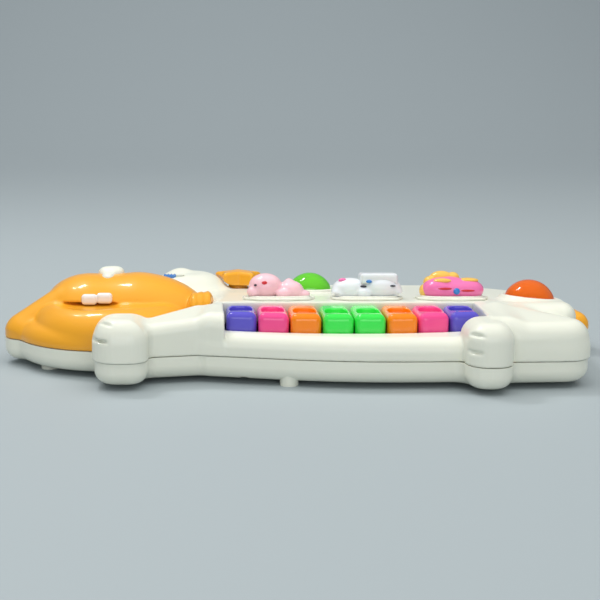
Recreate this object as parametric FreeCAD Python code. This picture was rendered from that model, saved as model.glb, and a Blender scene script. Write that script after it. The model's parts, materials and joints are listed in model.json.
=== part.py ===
# Toy piano in the shape of a lying animal: every piece as its own solid.
# Frame: X from head to tail, Y from the key side to the back, Z up, origin under the middle of the case.
import FreeCAD
import Part
import math
import os

Vector = FreeCAD.Vector
UP = Vector(0, 0, 1)
ACROSS = Vector(1, 0, 0)
ALONG = Vector(0, 1, 0)

# Case
case_length = 394.0
case_depth = 226.0
floor_height = 3.0
seam_height = 17.0
wall = 2.2
bottom_edge_radius = 8.0
web_radius = 6.0
cover_gap = 0.4
slide_gap = 0.4
overrun = 6.0
tiny = 0.0001

# Outlines as shares of case length (x) and case depth (y, corner radius)
body_outline_shares = [
    (-0.180, -0.343, 0.035), (0.051, -0.429, 1.33), (0.426, -0.411, 0.071),
    (0.450, 0.080, 0.266), (0.355, 0.478, 0.310), (0.127, 0.500, 0.531),
    (-0.239, 0.500, 0.106), (-0.261, 0.274, 0.071), (-0.208, 0.212, 0.044), (-0.152, 0.009, 0.133)]
arm_outline_shares = [
    (-0.336, -0.449, 0.062), (-0.253, -0.449, 0.055), (-0.253, -0.372, 0.020),
    (-0.157, -0.336, 0.053), (-0.142, -0.195, 0.044), (-0.178, -0.159, 0.035),
    (-0.264, -0.274, 0.066), (-0.336, -0.274, 0.062)]
hind_paw_outline_shares = [
    (0.228, -0.500, 0.058), (0.300, -0.500, 0.058), (0.300, -0.316, 0.058), (0.228, -0.316, 0.058)]
haunch_outline_shares = [
    (0.279, -0.431, 0.062), (0.428, -0.414, 0.080), (0.434, -0.177, 0.088),
    (0.355, -0.097, 0.088), (0.284, -0.177, 0.088)]
tail_outline_shares = [
    (0.439, 0.020, 0.035), (0.500, 0.020, 0.035), (0.500, 0.100, 0.200),
    (0.482, 0.257, 0.044), (0.421, 0.239, 0.044)]

# Raised lobes of the white cover
deck_front_height = 43.5
deck_back_height = 30.0
deck_edge_radius = 9.0
paw_height = 42.5
paw_edge_radius = 10.0
haunch_height = 45.0
haunch_edge_radius = 9.0
shoulder_x = -77.0
shoulder_y = 78.0
shoulder_radius = 33.6
shoulder_height = 44.8
hump_x = -82.7
hump_y = 84.0
hump_radius = 12.0
hump_height = 47.3
leg_x = -100.0
leg_y = -62.0
leg_height = 38.6
leg_rise_deg = 4.0
leg_back_rise_deg = 5.1
haunch_fall_x = 141.5
haunch_fall_height = 43.1
haunch_fall_deg = 20.0
rump_front_x = 128.0
rump_front_y = -52.0
toe_groove_radius = 1.6
toe_groove_depth = 1.1
toe_groove_sweep = 40.0
arm_groove_heights = (38.0, 29.5)
hind_groove_heights = (36.0, 26.0)
toe_axis_y_share = -0.365
hind_toe_axis_y_share = -0.412

# Tail
tail_height = 28.0
tail_edge_radius = 9.0

# Head cover
head_x = -128.0
head_y = -3.0
head_radius = 64.0
head_rim_height = 30.0
head_edge_radius = 10.0
head_wall = 2.0
chin_step = 0.3
chin_height = 41.0
chin_edge_radius = 20.0
muzzle_y = -1.0
muzzle_spread = 14.0
muzzle_radius = 36.0
muzzle_height = 56.8
left_cheek_height = 34.9
left_cheek_radius = 15.9
right_cheek_x = -90.0
right_cheek_y = -4.0
right_cheek_height = 50.5
right_cheek_radius = 29.5
forehead_y = 36.0
forehead_radius = 54.0
forehead_height = 41.5
cheek_y = -17.0
cheek_radius = 14.0
tuft_base_x = -74.0
tuft_base_y = -32.0
tuft_base_radius = 13.0
tuft_radius = 9.0
tuft_height = 45.4
tuft_x = -73.0
tuft_y = -24.0
tuft_pitch = 7.0
ear_radius = 18.0
left_ear_x = -160.0
left_ear_y = 60.0
right_ear_x = -120.0
right_ear_y = 70.0
mouth_width = 54.0
mouth_gap = 2.6
mouth_y = -36.0
mouth_height = 40.5
mouth_depth = 20.0

# Face pieces
nose_y = 8.0
nose_radius = 8.5
nose_thickness = 9.0
nose_top = 60.0
nose_peg_radius = 2.5
nose_peg_length = 14.0
teeth_x = -135.0
teeth_width = 20.0
teeth_height = 7.6
teeth_thickness = 4.0
teeth_bottom = 40.7
teeth_y = -28.5
teeth_corner_radius = 1.5
teeth_notch = 1.2
teeth_root_length = 8.0
teeth_root_width = 12.0
eye_spread = 17.0
eye_y = 40.0
eye_radius = 10.0
eye_rise = 3.0
eye_skirt_length = 8.0
eye_top = 45.0
iris_radius = 5.0
iris_thickness = 1.6
iris_recess = 1.0
face_fit = 0.12

# Keys
key_count = 8
key_pitch = 19.8
key_gap = 0.8
key_row_x = 26.7
key_back_y = -38.0
key_middle_front_y = -75.4
key_bow_radius = 326.0
key_set_down = 1.5
key_height = 13.5
key_edge_radius = 3.0
key_front_radius = 4.0
key_back_radius = 4.5
key_pocket_depth = 1.8
key_pocket_length = 16.5
key_pocket_margin = 3.2
key_pocket_setback = 7.0
key_wall = 1.8
key_lever_width = 9.0
key_lever_height = 4.0
key_hub_radius = 3.6
key_hub_width = 14.0
key_plunger_y = -56.0
key_plunger_radius = 2.6
key_plunger_bottom = 21.4
well_gap = 0.9
well_back_y = -37.0
ledge_height = 31.0
ledge_edge_radius = 9.0
rod_y = -30.0
rod_drop = 11.5
rod_radius = 1.5
rod_clearance = 0.05
bracket_thickness = 2.4
bracket_width = 6.0
bracket_drop = 3.6

# Push buttons
press_travel = 2.0
button_hole_fit = 0.4
plate_length = 46.0
plate_width = 36.0
plate_thickness = 1.4
plate_edge_radius = 1.0
puck_length = 38.0
puck_width = 28.0
puck_rise = 4.0
flange_margin = 2.0
flange_thickness = 1.6
stem_radius = 3.2
stem_gap = 0.4
pad_radius = 5.0
pad_height = 3.0
pink_x = -16.8
white_x = 41.3
yellow_x = 97.3
figure_y = -14.0
pink_head_radius = 10.5
pink_body_radius = 8.0
white_head_radius = 10.5
yellow_head_radius = 11.5
yellow_body_radius = 9.0
figure_ear_radius = 4.2
figure_snout_radius = 3.4
figure_foot_radius = 5.0
cap_width = 15.0
cap_depth = 11.0
cap_height = 5.5
cap_edge_radius = 1.6
dome_x = 9.5
dome_y = 53.0
dome_radius = 15.5
dome_rise = 11.0
dome_wall = 1.6
collar_width = 3.0
collar_height = 2.2
star_x = -40.5
star_y = 86.0
star_radius = 17.5
star_inner_share = 0.58
star_points = 5
star_thickness = 6.0
star_edge_radius = 2.0
star_tip_radius = 3.0
star_peak = 13.6
star_peak_radius = 24.0
star_lift = 5.4
star_stem_radius = 7.0

# Rump light
lens_x = 149.5
lens_y = -12.0
lens_radius = 16.5
lens_rise = 12.0
lens_wall = 1.8
lens_tilt_deg = 8.0
lens_seat_height = 2.0
lens_seat_width = 2.4
lens_flange = 1.8
lamp_radius = 2.5
lamp_height = 8.0
lamp_stand_radius = 4.0
lamp_base = 34.0

# Slide switch on the shoulder
switch_x = -88.0
switch_y = 68.0
switch_boss_radius = 9.5
switch_boss_top = 42.2
switch_boss_base = 33.2
switch_travel = 5.0
knob_length = 9.0
knob_width = 5.0
knob_height = 2.6
knob_edge_radius = 0.8
knob_stem_length = 4.0
knob_stem_width = 3.0
switch_body_length = 16.0
switch_body_width = 8.0
switch_body_height = 6.0

# Boards
main_board_left = -54.0
main_board_middle = 62.0
main_board_right = 112.0
main_board_front = -22.0
main_board_step = 6.0
main_board_back = 94.0
main_board_bottom = 16.0
board_thickness = 1.6
board_post_inset = 5.0
chip_size = 18.0
chip_height = 3.0
chip_x = 24.0
chip_y = 18.0
key_board_bottom = 13.0
key_board_front = -66.0
key_board_back = -45.0
key_pad_height = 5.0
key_pad_base = 1.2
key_pad_radius = 4.0
board_post_radius = 3.6
board_screw_radius = 1.2
board_screw_head_radius = 2.4
board_screw_head_height = 1.6
board_screw_length = 9.0
screw_fit = 0.1

# Speaker
speaker_x = -128.0
speaker_y = 0.0
speaker_radius = 28.5
speaker_rim_height = 3.0
speaker_basket_height = 14.0
speaker_basket_radius = 17.0
speaker_sheet = 1.6
magnet_radius = 14.0
magnet_height = 7.0
cone_gap = 0.3
cone_sheet = 0.8
dust_cap_radius = 6.0
grille_hole_radius = 2.0
grille_rings = 3
grille_ring_pitch = 7.0
grille_first_count = 6
speaker_ring_wall = 1.8
speaker_ring_height = 4.0

# Batteries
battery_radius = 7.1
battery_length = 49.0
battery_count = 3
battery_nub_radius = 2.7
battery_nub_length = 1.4
battery_gap = 0.6
battery_x = 118.0
battery_y = 38.0
battery_end_room = 3.4
door_thickness = 2.0
door_gap = 0.35
door_lip = 2.5
hinge_pin_radius = 0.7
hinge_pin_length = 6.0
hinge_clearance = 0.06
contact_thickness = 0.5
contact_spring_radius = 3.0

# Feet and case screws
foot_radius = 5.7
foot_places_shares = [(-0.035, -0.365), (0.280, -0.376), (0.410, 0.110), (0.240, 0.400), (-0.150, 0.440),
                      (-0.430, 0.200), (-0.420, -0.160)]
boss_radius = 4.2
case_screw_radius = 1.5
case_screw_head_radius = 2.9
case_screw_head_height = 2.0
case_screw_length = 20.0
case_screw_recess = 5.0
upper_boss_places_shares = [(-0.105, -0.345), (0.262, -0.440), (0.300, 0.370), (-0.020, 0.440),
                            (-0.200, 0.440), (0.400, -0.300)]
head_boss_places_shares = [(-0.430, 0.060), (-0.385, 0.245), (-0.225, 0.070)]

key_top = deck_front_height - key_set_down
key_bottom = key_top - key_height
rod_z = deck_front_height - rod_drop
deck_slope = (deck_front_height - deck_back_height) / (case_depth / 2 - well_back_y)
deck_tilt_deg = math.degrees(math.atan(deck_slope))
key_row_width = key_count * key_pitch
well_left = key_row_x - key_row_width / 2 - well_gap
well_right = key_row_x + key_row_width / 2 + well_gap


def deck_z(y):
    """Height of the sloping deck at a depth y."""
    return deck_front_height - deck_slope * (y - well_back_y)


def on_deck(x, y):
    """Placement whose local Z stands square on the deck at (x, y)."""
    return FreeCAD.Placement(Vector(x, y, deck_z(y)), FreeCAD.Rotation(ACROSS, -deck_tilt_deg))


def placed(shape, placement):
    """Copy of a shape moved by a placement."""
    return shape.transformed(placement.toMatrix())


def rounded_outline(points):
    """Flat face on Z = 0 bounded by straight runs and tangent corner arcs."""
    edges = []
    corners = []
    total = len(points)
    for index, (x, y, radius) in enumerate(points):
        here = Vector(x, y, 0)
        before = Vector(points[index - 1][0], points[index - 1][1], 0)
        after = Vector(points[(index + 1) % total][0], points[(index + 1) % total][1], 0)
        back = (before - here).normalize()
        ahead = (after - here).normalize()
        half_angle = back.getAngle(ahead) / 2
        reach = radius / math.tan(half_angle)
        middle = (back + ahead).normalize()
        centre = here + middle * (radius / math.sin(half_angle))
        corners.append((here + back * reach, centre - middle * radius, here + ahead * reach))
    for index, (start, bend, end) in enumerate(corners):
        edges.append(Part.Arc(start, bend, end).toShape())
        edges.append(Part.LineSegment(end, corners[(index + 1) % total][0]).toShape())
    return Part.Face(Part.Wire(edges))


def case_outline(shares):
    """Rounded outline from shares of the case's length and depth."""
    return rounded_outline([(x * case_length, y * case_depth, r * case_depth) for x, y, r in shares])


def disc(x, y, radius):
    """Flat round face on Z = 0."""
    return Part.Face(Part.Wire(Part.makeCircle(radius, Vector(x, y, 0))))


def stadium(length, width):
    """Flat oval face centred on the origin, long along X."""
    half = (length - width) / 2
    radius = width / 2
    reach = length / 2
    return Part.Face(Part.Wire([
        Part.LineSegment(Vector(-half, -radius, 0), Vector(half, -radius, 0)).toShape(),
        Part.Arc(Vector(half, -radius, 0), Vector(reach, 0, 0), Vector(half, radius, 0)).toShape(),
        Part.LineSegment(Vector(half, radius, 0), Vector(-half, radius, 0)).toShape(),
        Part.Arc(Vector(-half, radius, 0), Vector(-reach, 0, 0), Vector(-half, -radius, 0)).toShape()]))


def prism(face, low, high):
    """Straight extrusion of a flat face between two heights."""
    base = face.translated(Vector(0, 0, low))
    return base.extrude(Vector(0, 0, high - low))


def edges_at(shape, height):
    """Edges that lie flat at one height."""
    level = [e for e in shape.Edges if abs(e.BoundBox.ZMin - height) < tiny]
    return [e for e in level if abs(e.BoundBox.ZMax - height) < tiny]


def soft_prism(face, low, high, radius):
    """Extrusion whose top rim is rounded."""
    body = prism(face, low, high)
    return body.makeFillet(radius, edges_at(body, high))


def cylinder(x, y, low, high, radius):
    """Upright cylinder between two heights."""
    return Part.makeCylinder(radius, high - low, Vector(x, y, low))


def block(x, y, low, size_x, size_y, high):
    """Box centred on (x, y) between two heights."""
    return Part.makeBox(size_x, size_y, high - low, Vector(x - size_x / 2, y - size_y / 2, low))


def ball(x, y, top, radius):
    """Ball whose highest point is at a given height."""
    return Part.makeSphere(radius, Vector(x, y, top - radius))


def fused(shapes):
    """One clean solid from overlapping shapes."""
    first = shapes[0]
    if len(shapes) == 1:
        return first
    return first.multiFuse(shapes[1:]).removeSplitter()


def case_points(shares):
    """Places on the case from shares of its length and depth."""
    return [(x * case_length, y * case_depth) for x, y in shares]


# White shells

body_face = case_outline(body_outline_shares)
arm_face = case_outline(arm_outline_shares)
hind_paw_face = case_outline(hind_paw_outline_shares)
haunch_face = case_outline(haunch_outline_shares)
tail_face = case_outline(tail_outline_shares)
cheek_left_x = cheek_radius - case_length / 2
cheek_right_x = 2 * head_x - cheek_left_x


def inset_face(face, inset):
    """Flat face drawn in evenly by an inset, or grown by a negative one."""
    if inset == 0:
        return face
    return face.makeOffset2D(-inset)


def above_deck(drop):
    """Everything above the sloping deck, lowered by a drop."""
    slab = Part.makeBox(2 * case_length, 4 * case_depth, case_depth,
                        Vector(-case_length, -2 * case_depth, -drop))
    return placed(slab, on_deck(0, 0))


def key_space(inset, low):
    """Space over the keys and in front of them, grown by an inset at the sides and back."""
    return Part.makeBox(well_right - well_left + 2 * inset, case_depth, case_depth,
                        Vector(well_left - inset, well_back_y + inset - case_depth, low - overrun))


def deck_block(inset, low):
    """Sloping body of the white cover with a rounded rim, cut away over the keys."""
    high = deck_front_height + case_depth * deck_slope
    tall = prism(inset_face(body_face, inset), low, high).cut(above_deck(inset))
    normal = on_deck(0, 0).Rotation.multVec(UP)
    top = [f for f in tall.Faces if f.normalAt(0, 0).isEqual(normal, tiny)][0]
    soft = tall.makeFillet(deck_edge_radius - inset, top.OuterWire.Edges)
    soft = soft.common(block(0, 0, low, 2 * case_length, 2 * case_depth, deck_front_height - inset))
    corner = Part.makeBox(case_length, case_depth, case_depth,
                          Vector(rump_front_x - inset, rump_front_y + inset - case_depth, low - overrun))
    return soft.cut([key_space(inset, low), corner])


def haunch_block(inset, low):
    """Haunch whose top falls away to the right."""
    plan = inset_face(haunch_face, inset)
    whole = soft_prism(plan, low, haunch_height - inset, haunch_edge_radius - inset)
    corner = Vector(-case_length / 2, -case_depth, -inset)
    above = Part.makeBox(case_length, 2 * case_depth, case_depth, corner)
    tilt = FreeCAD.Rotation(ALONG, haunch_fall_deg)
    return whole.cut(placed(above, FreeCAD.Placement(Vector(haunch_fall_x, 0, haunch_fall_height), tilt)))


def leg_block(inset, low):
    """Front leg: tall paw at its end and a lower sloping top behind the paw."""
    whole = soft_prism(inset_face(arm_face, inset), low, paw_height - inset, paw_edge_radius - inset)
    above = Part.makeBox(case_length, 2 * case_depth, case_depth, Vector(-inset, -case_depth, -inset))
    tilt = FreeCAD.Rotation(ALONG, -leg_rise_deg).multiply(FreeCAD.Rotation(ACROSS, leg_back_rise_deg))
    return whole.cut(placed(above, FreeCAD.Placement(Vector(leg_x, leg_y, leg_height), tilt)))


def white_form(inset, low):
    """Outer form of the white cover, or its hollow when inset by the wall."""
    ledge = soft_prism(inset_face(body_face, inset), low, ledge_height - inset, ledge_edge_radius - inset)
    ledge = ledge.common(key_space(inset, low))
    paw = soft_prism(inset_face(hind_paw_face, inset), low, paw_height - inset, paw_edge_radius - inset)
    shoulder = ball(shoulder_x, shoulder_y, shoulder_height - inset, shoulder_radius - inset)
    shoulder = shoulder.common(prism(inset_face(body_face, inset), low, shoulder_height + overrun))
    hump = ball(hump_x, hump_y, hump_height - inset, hump_radius - inset)
    return fused([ledge, deck_block(inset, low), leg_block(inset, low), paw, haunch_block(inset, low),
                  shoulder, hump])


def closed_face(faces, radius):
    """Union of flat faces with its inner corners rounded."""
    union = faces[0].multiFuse(faces[1:]).removeSplitter()
    grown = Part.Face(union.Faces[0].OuterWire).makeOffset2D(radius)
    return grown.makeOffset2D(-radius)


white_faces = [body_face, arm_face, hind_paw_face, haunch_face]
white_face = closed_face(white_faces, web_radius)
head_plan = closed_face([disc(head_x, head_y, head_radius), disc(cheek_left_x, cheek_y, cheek_radius),
                         disc(cheek_right_x, cheek_y, cheek_radius),
                         disc(tuft_base_x, tuft_base_y, tuft_base_radius),
                         disc(left_ear_x, left_ear_y, ear_radius),
                         disc(right_ear_x, right_ear_y, ear_radius)], web_radius)
case_plan = closed_face([body_face, arm_face, hind_paw_face, haunch_face, tail_face, head_plan], web_radius)


def webs():
    """Rounded inner corners where the paws and haunch meet the body wall."""
    corners = white_face
    for face in white_faces:
        corners = corners.cut(face)
    return [prism(face, seam_height, ledge_height - ledge_edge_radius) for face in corners.Faces]


def toe_grooves(outline_shares, axis_y_share, heights):
    """Rings that score the toes into the left side of a paw."""
    side_x = outline_shares[0][0] * case_length
    side_y = axis_y_share * case_depth
    centre = Vector(side_x + toe_groove_depth - toe_groove_radius - toe_groove_sweep, side_y, 0)
    ring = Part.makeTorus(toe_groove_sweep, toe_groove_radius, centre)
    groove = ring.common(block(side_x, side_y, -overrun, toe_groove_sweep, toe_groove_sweep, overrun))
    return [groove.translated(Vector(0, 0, height)) for height in heights]


def key_x(index):
    """Middle of a key in the row."""
    return key_row_x + (index - (key_count - 1) / 2) * key_pitch


def key_front_y(x):
    """Front of the bowed key row at a place along it."""
    centre_y = key_middle_front_y + key_bow_radius
    return centre_y - math.sqrt(key_bow_radius ** 2 - (x - key_row_x) ** 2)


def key_opening():
    """Opening in the ledge that the keys stand in, bowed like their fronts."""
    straight = Part.makeBox(well_right - well_left, case_depth, deck_front_height,
                            Vector(well_left, well_back_y - case_depth, seam_height - overrun))
    bow = cylinder(key_row_x, key_middle_front_y + key_bow_radius, seam_height - overrun,
                   deck_front_height + overrun, key_bow_radius + well_gap)
    return straight.common(bow)


def lever_notch(index):
    """Notch in the back wall of the key well for one key's lever."""
    width = key_lever_width + 2 * well_gap
    high = rod_z + key_lever_height / 2 + well_gap
    return block(key_x(index), well_back_y, seam_height, width, 4 * wall, high)


bracket_places = [key_row_x - key_row_width / 2, (key_x(2) + key_x(3)) / 2, (key_x(5) + key_x(6)) / 2,
                  yellow_x + plate_length / 2]
upper_boss_places = case_points(upper_boss_places_shares)
head_boss_places = case_points(head_boss_places_shares)
figure_places = [pink_x, white_x, yellow_x]


def along_x(x, length, radius, y, z):
    """Round bar along X, centred on x."""
    return Part.makeCylinder(radius, length, Vector(x - length / 2, y, z), ACROSS)


def lens_place():
    """Placement of the rump light, tipped towards the tail."""
    tip = FreeCAD.Placement(Vector(0, 0, 0), FreeCAD.Rotation(ALONG, lens_tilt_deg))
    return on_deck(lens_x, lens_y).multiply(tip)


def screw_pilots(places):
    """Pilot holes for the case screws above the seam."""
    top = floor_height + case_screw_recess + case_screw_length + screw_fit
    return [cylinder(x, y, seam_height - overrun, top, case_screw_radius + screw_fit) for x, y in places]


def upper_shell():
    """White cover with both paws, the sloping deck, the key well and every opening."""
    outer = fused([white_form(0, seam_height)] + webs())
    shell = outer.cut(white_form(wall, seam_height - overrun))
    inside = []
    for x, y in upper_boss_places:
        inside.append(cylinder(x, y, seam_height, case_depth, boss_radius).common(outer))
    for x in bracket_places:
        hanger = block(x, rod_y, rod_z - bracket_drop, bracket_thickness, bracket_width, case_depth)
        inside.append(hanger.common(outer))
    collar = cylinder(0, 0, -wall, collar_height, dome_radius + collar_width)
    collar = placed(collar, on_deck(dome_x, dome_y))
    seat = placed(cylinder(0, 0, -2 * wall, lens_seat_height, lens_radius + lens_seat_width), lens_place())
    boss = soft_prism(disc(switch_x, switch_y, switch_boss_radius), switch_boss_base, switch_boss_top,
                      knob_height)
    shell = fused([shell, collar, seat, boss] + inside)
    cuts = [key_opening()] + [lever_notch(i) for i in range(key_count)] + screw_pilots(upper_boss_places)
    cuts += toe_grooves(arm_outline_shares, toe_axis_y_share, arm_groove_heights)
    cuts += toe_grooves(hind_paw_outline_shares, hind_toe_axis_y_share, hind_groove_heights)
    figure_hole = prism(stadium(puck_length + 2 * button_hole_fit, puck_width + 2 * button_hole_fit),
                        -4 * wall, overrun)
    cuts += [placed(figure_hole, on_deck(x, figure_y)) for x in figure_places]
    cuts.append(placed(cylinder(0, 0, -4 * wall, overrun, dome_radius + button_hole_fit),
                       on_deck(dome_x, dome_y)))
    cuts.append(placed(cylinder(0, 0, -4 * wall, overrun, star_stem_radius + button_hole_fit),
                       on_deck(star_x, star_y)))
    cuts.append(placed(cylinder(0, 0, -4 * wall, overrun, lens_radius + face_fit), lens_place()))
    cuts.append(placed(cylinder(0, 0, -4 * wall, -2 * wall, lens_radius + lens_flange + slide_gap),
                       lens_place()))
    cuts.append(block(switch_x, switch_y, switch_boss_base - overrun,
                      knob_stem_length + switch_travel + 2 * slide_gap, knob_stem_width + 2 * slide_gap,
                      switch_boss_top + overrun))
    cuts.append(block(switch_x, switch_y, switch_boss_top, knob_length + switch_travel + 4 * slide_gap,
                      knob_width + 4 * slide_gap, switch_boss_top + overrun))
    cuts.append(block(switch_x, switch_y, seam_height, switch_body_length + 2 * slide_gap,
                      switch_body_width + 2 * slide_gap, switch_boss_base))
    for x in bracket_places:
        cuts.append(along_x(x, 2 * bracket_thickness, rod_radius + rod_clearance, rod_y, rod_z))
    return shell.cut(cuts)


def tail_cover():
    """Orange top of the tail."""
    beside = prism(body_face.makeOffset2D(cover_gap), 0, case_depth)
    outer = soft_prism(tail_face, seam_height, tail_height, tail_edge_radius)
    inner = soft_prism(inset_face(tail_face, wall), seam_height - overrun, tail_height - wall,
                       tail_edge_radius - wall)
    return outer.cut(inner).cut(beside)


# Head

def head_form(inset, low):
    """Face cover: round rim, full chin, two muzzle lobes, forehead, cheeks and solid cheek tufts."""
    plan = inset_face(head_plan, inset)
    rim = soft_prism(plan, low, head_rim_height - inset, head_edge_radius - inset)
    chin = soft_prism(disc(head_x, head_y, head_radius - chin_step - inset), low, chin_height - inset,
                      chin_edge_radius - inset)
    lobes = [(head_x - muzzle_spread, muzzle_y, muzzle_height, muzzle_radius),
             (head_x + muzzle_spread, muzzle_y, muzzle_height, muzzle_radius),
             (head_x, forehead_y, forehead_height, forehead_radius),
             (cheek_left_x, cheek_y, left_cheek_height, left_cheek_radius),
             (right_cheek_x, right_cheek_y, right_cheek_height, right_cheek_radius)]
    if inset == 0:
        lobes += [(tuft_x + step * tuft_pitch, tuft_y + step * tuft_pitch / 2, tuft_height, tuft_radius)
                  for step in (0, 1)]
    balls = [ball(x, y, top - inset, radius - inset) for x, y, top, radius in lobes]
    room = prism(plan, low, case_depth)
    return fused([rim, chin] + [item.common(room) for item in balls])


def oval(radius, half_height):
    """Flattened ball centred on the origin."""
    flatten = FreeCAD.Matrix()
    flatten.scale(radius, radius, half_height)
    return Part.makeSphere(1).transformGeometry(flatten)


def nose(grow):
    """Oval nose with a peg behind it; grown by a fit it is the nose's socket."""
    bead = oval(nose_radius + grow, nose_thickness / 2 + grow)
    centre = nose_top - nose_thickness / 2
    peg = cylinder(head_x, nose_y, centre - nose_peg_length, centre, nose_peg_radius + grow)
    return fused([bead.translated(Vector(head_x, nose_y, centre)), peg])


def eye_x(side):
    """Middle of the left (-1) or right (1) eye."""
    return head_x + side * eye_spread


def eye(side):
    """Domed eye with a skirt through the cover and a seat for its iris."""
    x = eye_x(side)
    cap_radius = (eye_radius ** 2 + eye_rise ** 2) / (2 * eye_rise)
    skirt = cylinder(x, eye_y, eye_top - eye_rise - eye_skirt_length, eye_top, eye_radius)
    dome = skirt.common(ball(x, eye_y, eye_top, cap_radius))
    return dome.cut(cylinder(x, eye_y, eye_top - iris_recess, eye_top + overrun, iris_radius + face_fit))


def iris(side):
    """Blue disc set into an eye."""
    x = eye_x(side)
    low = eye_top - iris_recess
    return soft_prism(disc(x, eye_y, iris_radius), low, low + iris_thickness, iris_recess / 2)


def teeth_plate(grow):
    """Plain plate of the teeth; grown by a fit it is their socket."""
    return block(teeth_x, teeth_y, teeth_bottom - grow, teeth_width + 2 * grow, teeth_thickness + 2 * grow,
                 teeth_bottom + teeth_height + grow)


def teeth():
    """Two front teeth on one root that plugs into the mouth slit."""
    plate = teeth_plate(0)
    plate = plate.makeFillet(teeth_corner_radius, plate.Edges)
    notch = cylinder(teeth_x, teeth_y - teeth_thickness / 2, teeth_bottom - overrun,
                     teeth_bottom + teeth_height + overrun, teeth_notch)
    root = block(teeth_x, teeth_y + teeth_root_length / 2, mouth_height + face_fit, teeth_root_width,
                 teeth_root_length, mouth_height + mouth_gap - face_fit)
    return fused([plate.cut(notch), root])


def head_cover():
    """Orange face cover, seated on the lower shell beside the white cover."""
    outer = head_form(0, seam_height)
    shell = outer.cut(head_form(head_wall, seam_height - overrun))
    posts = [cylinder(x, y, seam_height, case_depth, boss_radius).common(outer)
             for x, y in head_boss_places]
    shell = fused([shell] + posts)
    beside = prism(white_face.makeOffset2D(cover_gap), 0, case_depth)
    mouth = block(head_x, mouth_y + mouth_depth / 2, mouth_height, mouth_width, mouth_depth,
                  mouth_height + mouth_gap)
    sockets = [cylinder(eye_x(side), eye_y, seam_height, case_depth, eye_radius + face_fit)
               for side in (-1, 1)]
    cuts = [beside, mouth, nose(face_fit), teeth_plate(face_fit)] + sockets + screw_pilots(head_boss_places)
    return max(shell.cut(cuts).Solids, key=lambda solid: solid.Volume)


# Keys

def key(index):
    """One key: rounded cap with a shallow pocket, lever, hub and plunger."""
    x = key_x(index)
    front = key_front_y(x)
    half = (key_pitch - key_gap) / 2
    corners = [(x - half, key_front_y(x - half), key_front_radius),
               (x + half, key_front_y(x + half), key_front_radius),
               (x + half, key_back_y, key_back_radius), (x - half, key_back_y, key_back_radius)]
    plan = rounded_outline(corners)
    cap = soft_prism(plan, key_bottom, key_top, key_edge_radius)
    hollow = prism(inset_face(plan, key_wall), key_bottom - overrun, key_top - key_pocket_depth - key_wall)
    pocket_half = half - key_pocket_margin
    pocket_front = front + key_pocket_setback
    pocket = rounded_outline([
        (x - pocket_half, pocket_front, key_pocket_depth),
        (x + pocket_half, pocket_front, key_pocket_depth),
        (x + pocket_half, pocket_front + key_pocket_length, key_back_radius),
        (x - pocket_half, pocket_front + key_pocket_length, key_back_radius)])
    cap = cap.cut([hollow, prism(pocket, key_top - key_pocket_depth, key_top + overrun)])
    lever = Part.makeBox(key_lever_width, rod_y - key_back_y + key_wall, key_lever_height,
                         Vector(x - key_lever_width / 2, key_back_y - key_wall,
                                rod_z - key_lever_height / 2))
    hub = along_x(x, key_hub_width, key_hub_radius, rod_y, rod_z)
    plunger = cylinder(x, key_plunger_y, key_plunger_bottom, key_top - key_pocket_depth - key_wall / 2,
                       key_plunger_radius)
    bore = along_x(x, 2 * key_hub_width, rod_radius + rod_clearance, rod_y, rod_z)
    return fused([cap, lever, hub, plunger]).cut(bore)


def key_rod():
    """Steel rod that all keys turn on."""
    left = bracket_places[0] - bracket_thickness
    right = bracket_places[-1] + bracket_thickness
    return Part.makeCylinder(rod_radius, right - left, Vector(left, rod_y, rod_z), ACROSS)


def key_board():
    """Contact board under the keys."""
    return Part.makeBox(well_right - well_left, key_board_back - key_board_front, board_thickness,
                        Vector(well_left, key_board_front, key_board_bottom))


def key_pad():
    """Rubber strip with one contact dome under each key."""
    base_low = key_board_bottom + board_thickness
    middle = (key_board_front + key_board_back) / 2
    strip = block(key_row_x, middle, base_low, key_row_width, 2 * key_pad_radius, base_low + key_pad_base)
    domes = [Part.makeCone(key_pad_radius, key_plunger_radius, key_pad_height,
                           Vector(key_x(i), key_plunger_y, base_low)) for i in range(key_count)]
    return fused([strip] + domes)


# Push buttons

def stem_length(y):
    """Depth below the deck at which a button's stem stops, short of its pad at full travel."""
    pad_top = main_board_bottom + board_thickness + pad_height
    return deck_z(y) - pad_top - press_travel - stem_gap


def button_plate(x):
    """White oval plate lying on the deck round a figure button."""
    ring = soft_prism(stadium(plate_length, plate_width), 0, plate_thickness, plate_edge_radius)
    hole = prism(stadium(puck_length + 2 * button_hole_fit, puck_width + 2 * button_hole_fit),
                 -overrun, overrun)
    return placed(ring.cut(hole), on_deck(x, figure_y))


def figure_button(x, balls, extras):
    """Push button: oval puck with a retaining flange and stem, carrying a rounded animal figure."""
    puck = prism(stadium(puck_length, puck_width), -wall - slide_gap, puck_rise)
    flange = prism(stadium(puck_length + 2 * flange_margin, puck_width + 2 * flange_margin),
                   -wall - slide_gap / 2 - flange_thickness, -wall - slide_gap / 2)
    stem = cylinder(0, 0, -stem_length(figure_y), -wall, stem_radius)
    above = Part.makeBox(2 * plate_length, 2 * plate_length, plate_length,
                         Vector(-plate_length, -plate_length, puck_rise / 2))
    figure = [Part.makeSphere(radius, Vector(dx, dy, dz)).common(above) for dx, dy, dz, radius in balls]
    return placed(fused([puck, flange, stem] + figure + extras), on_deck(x, figure_y))


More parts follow.
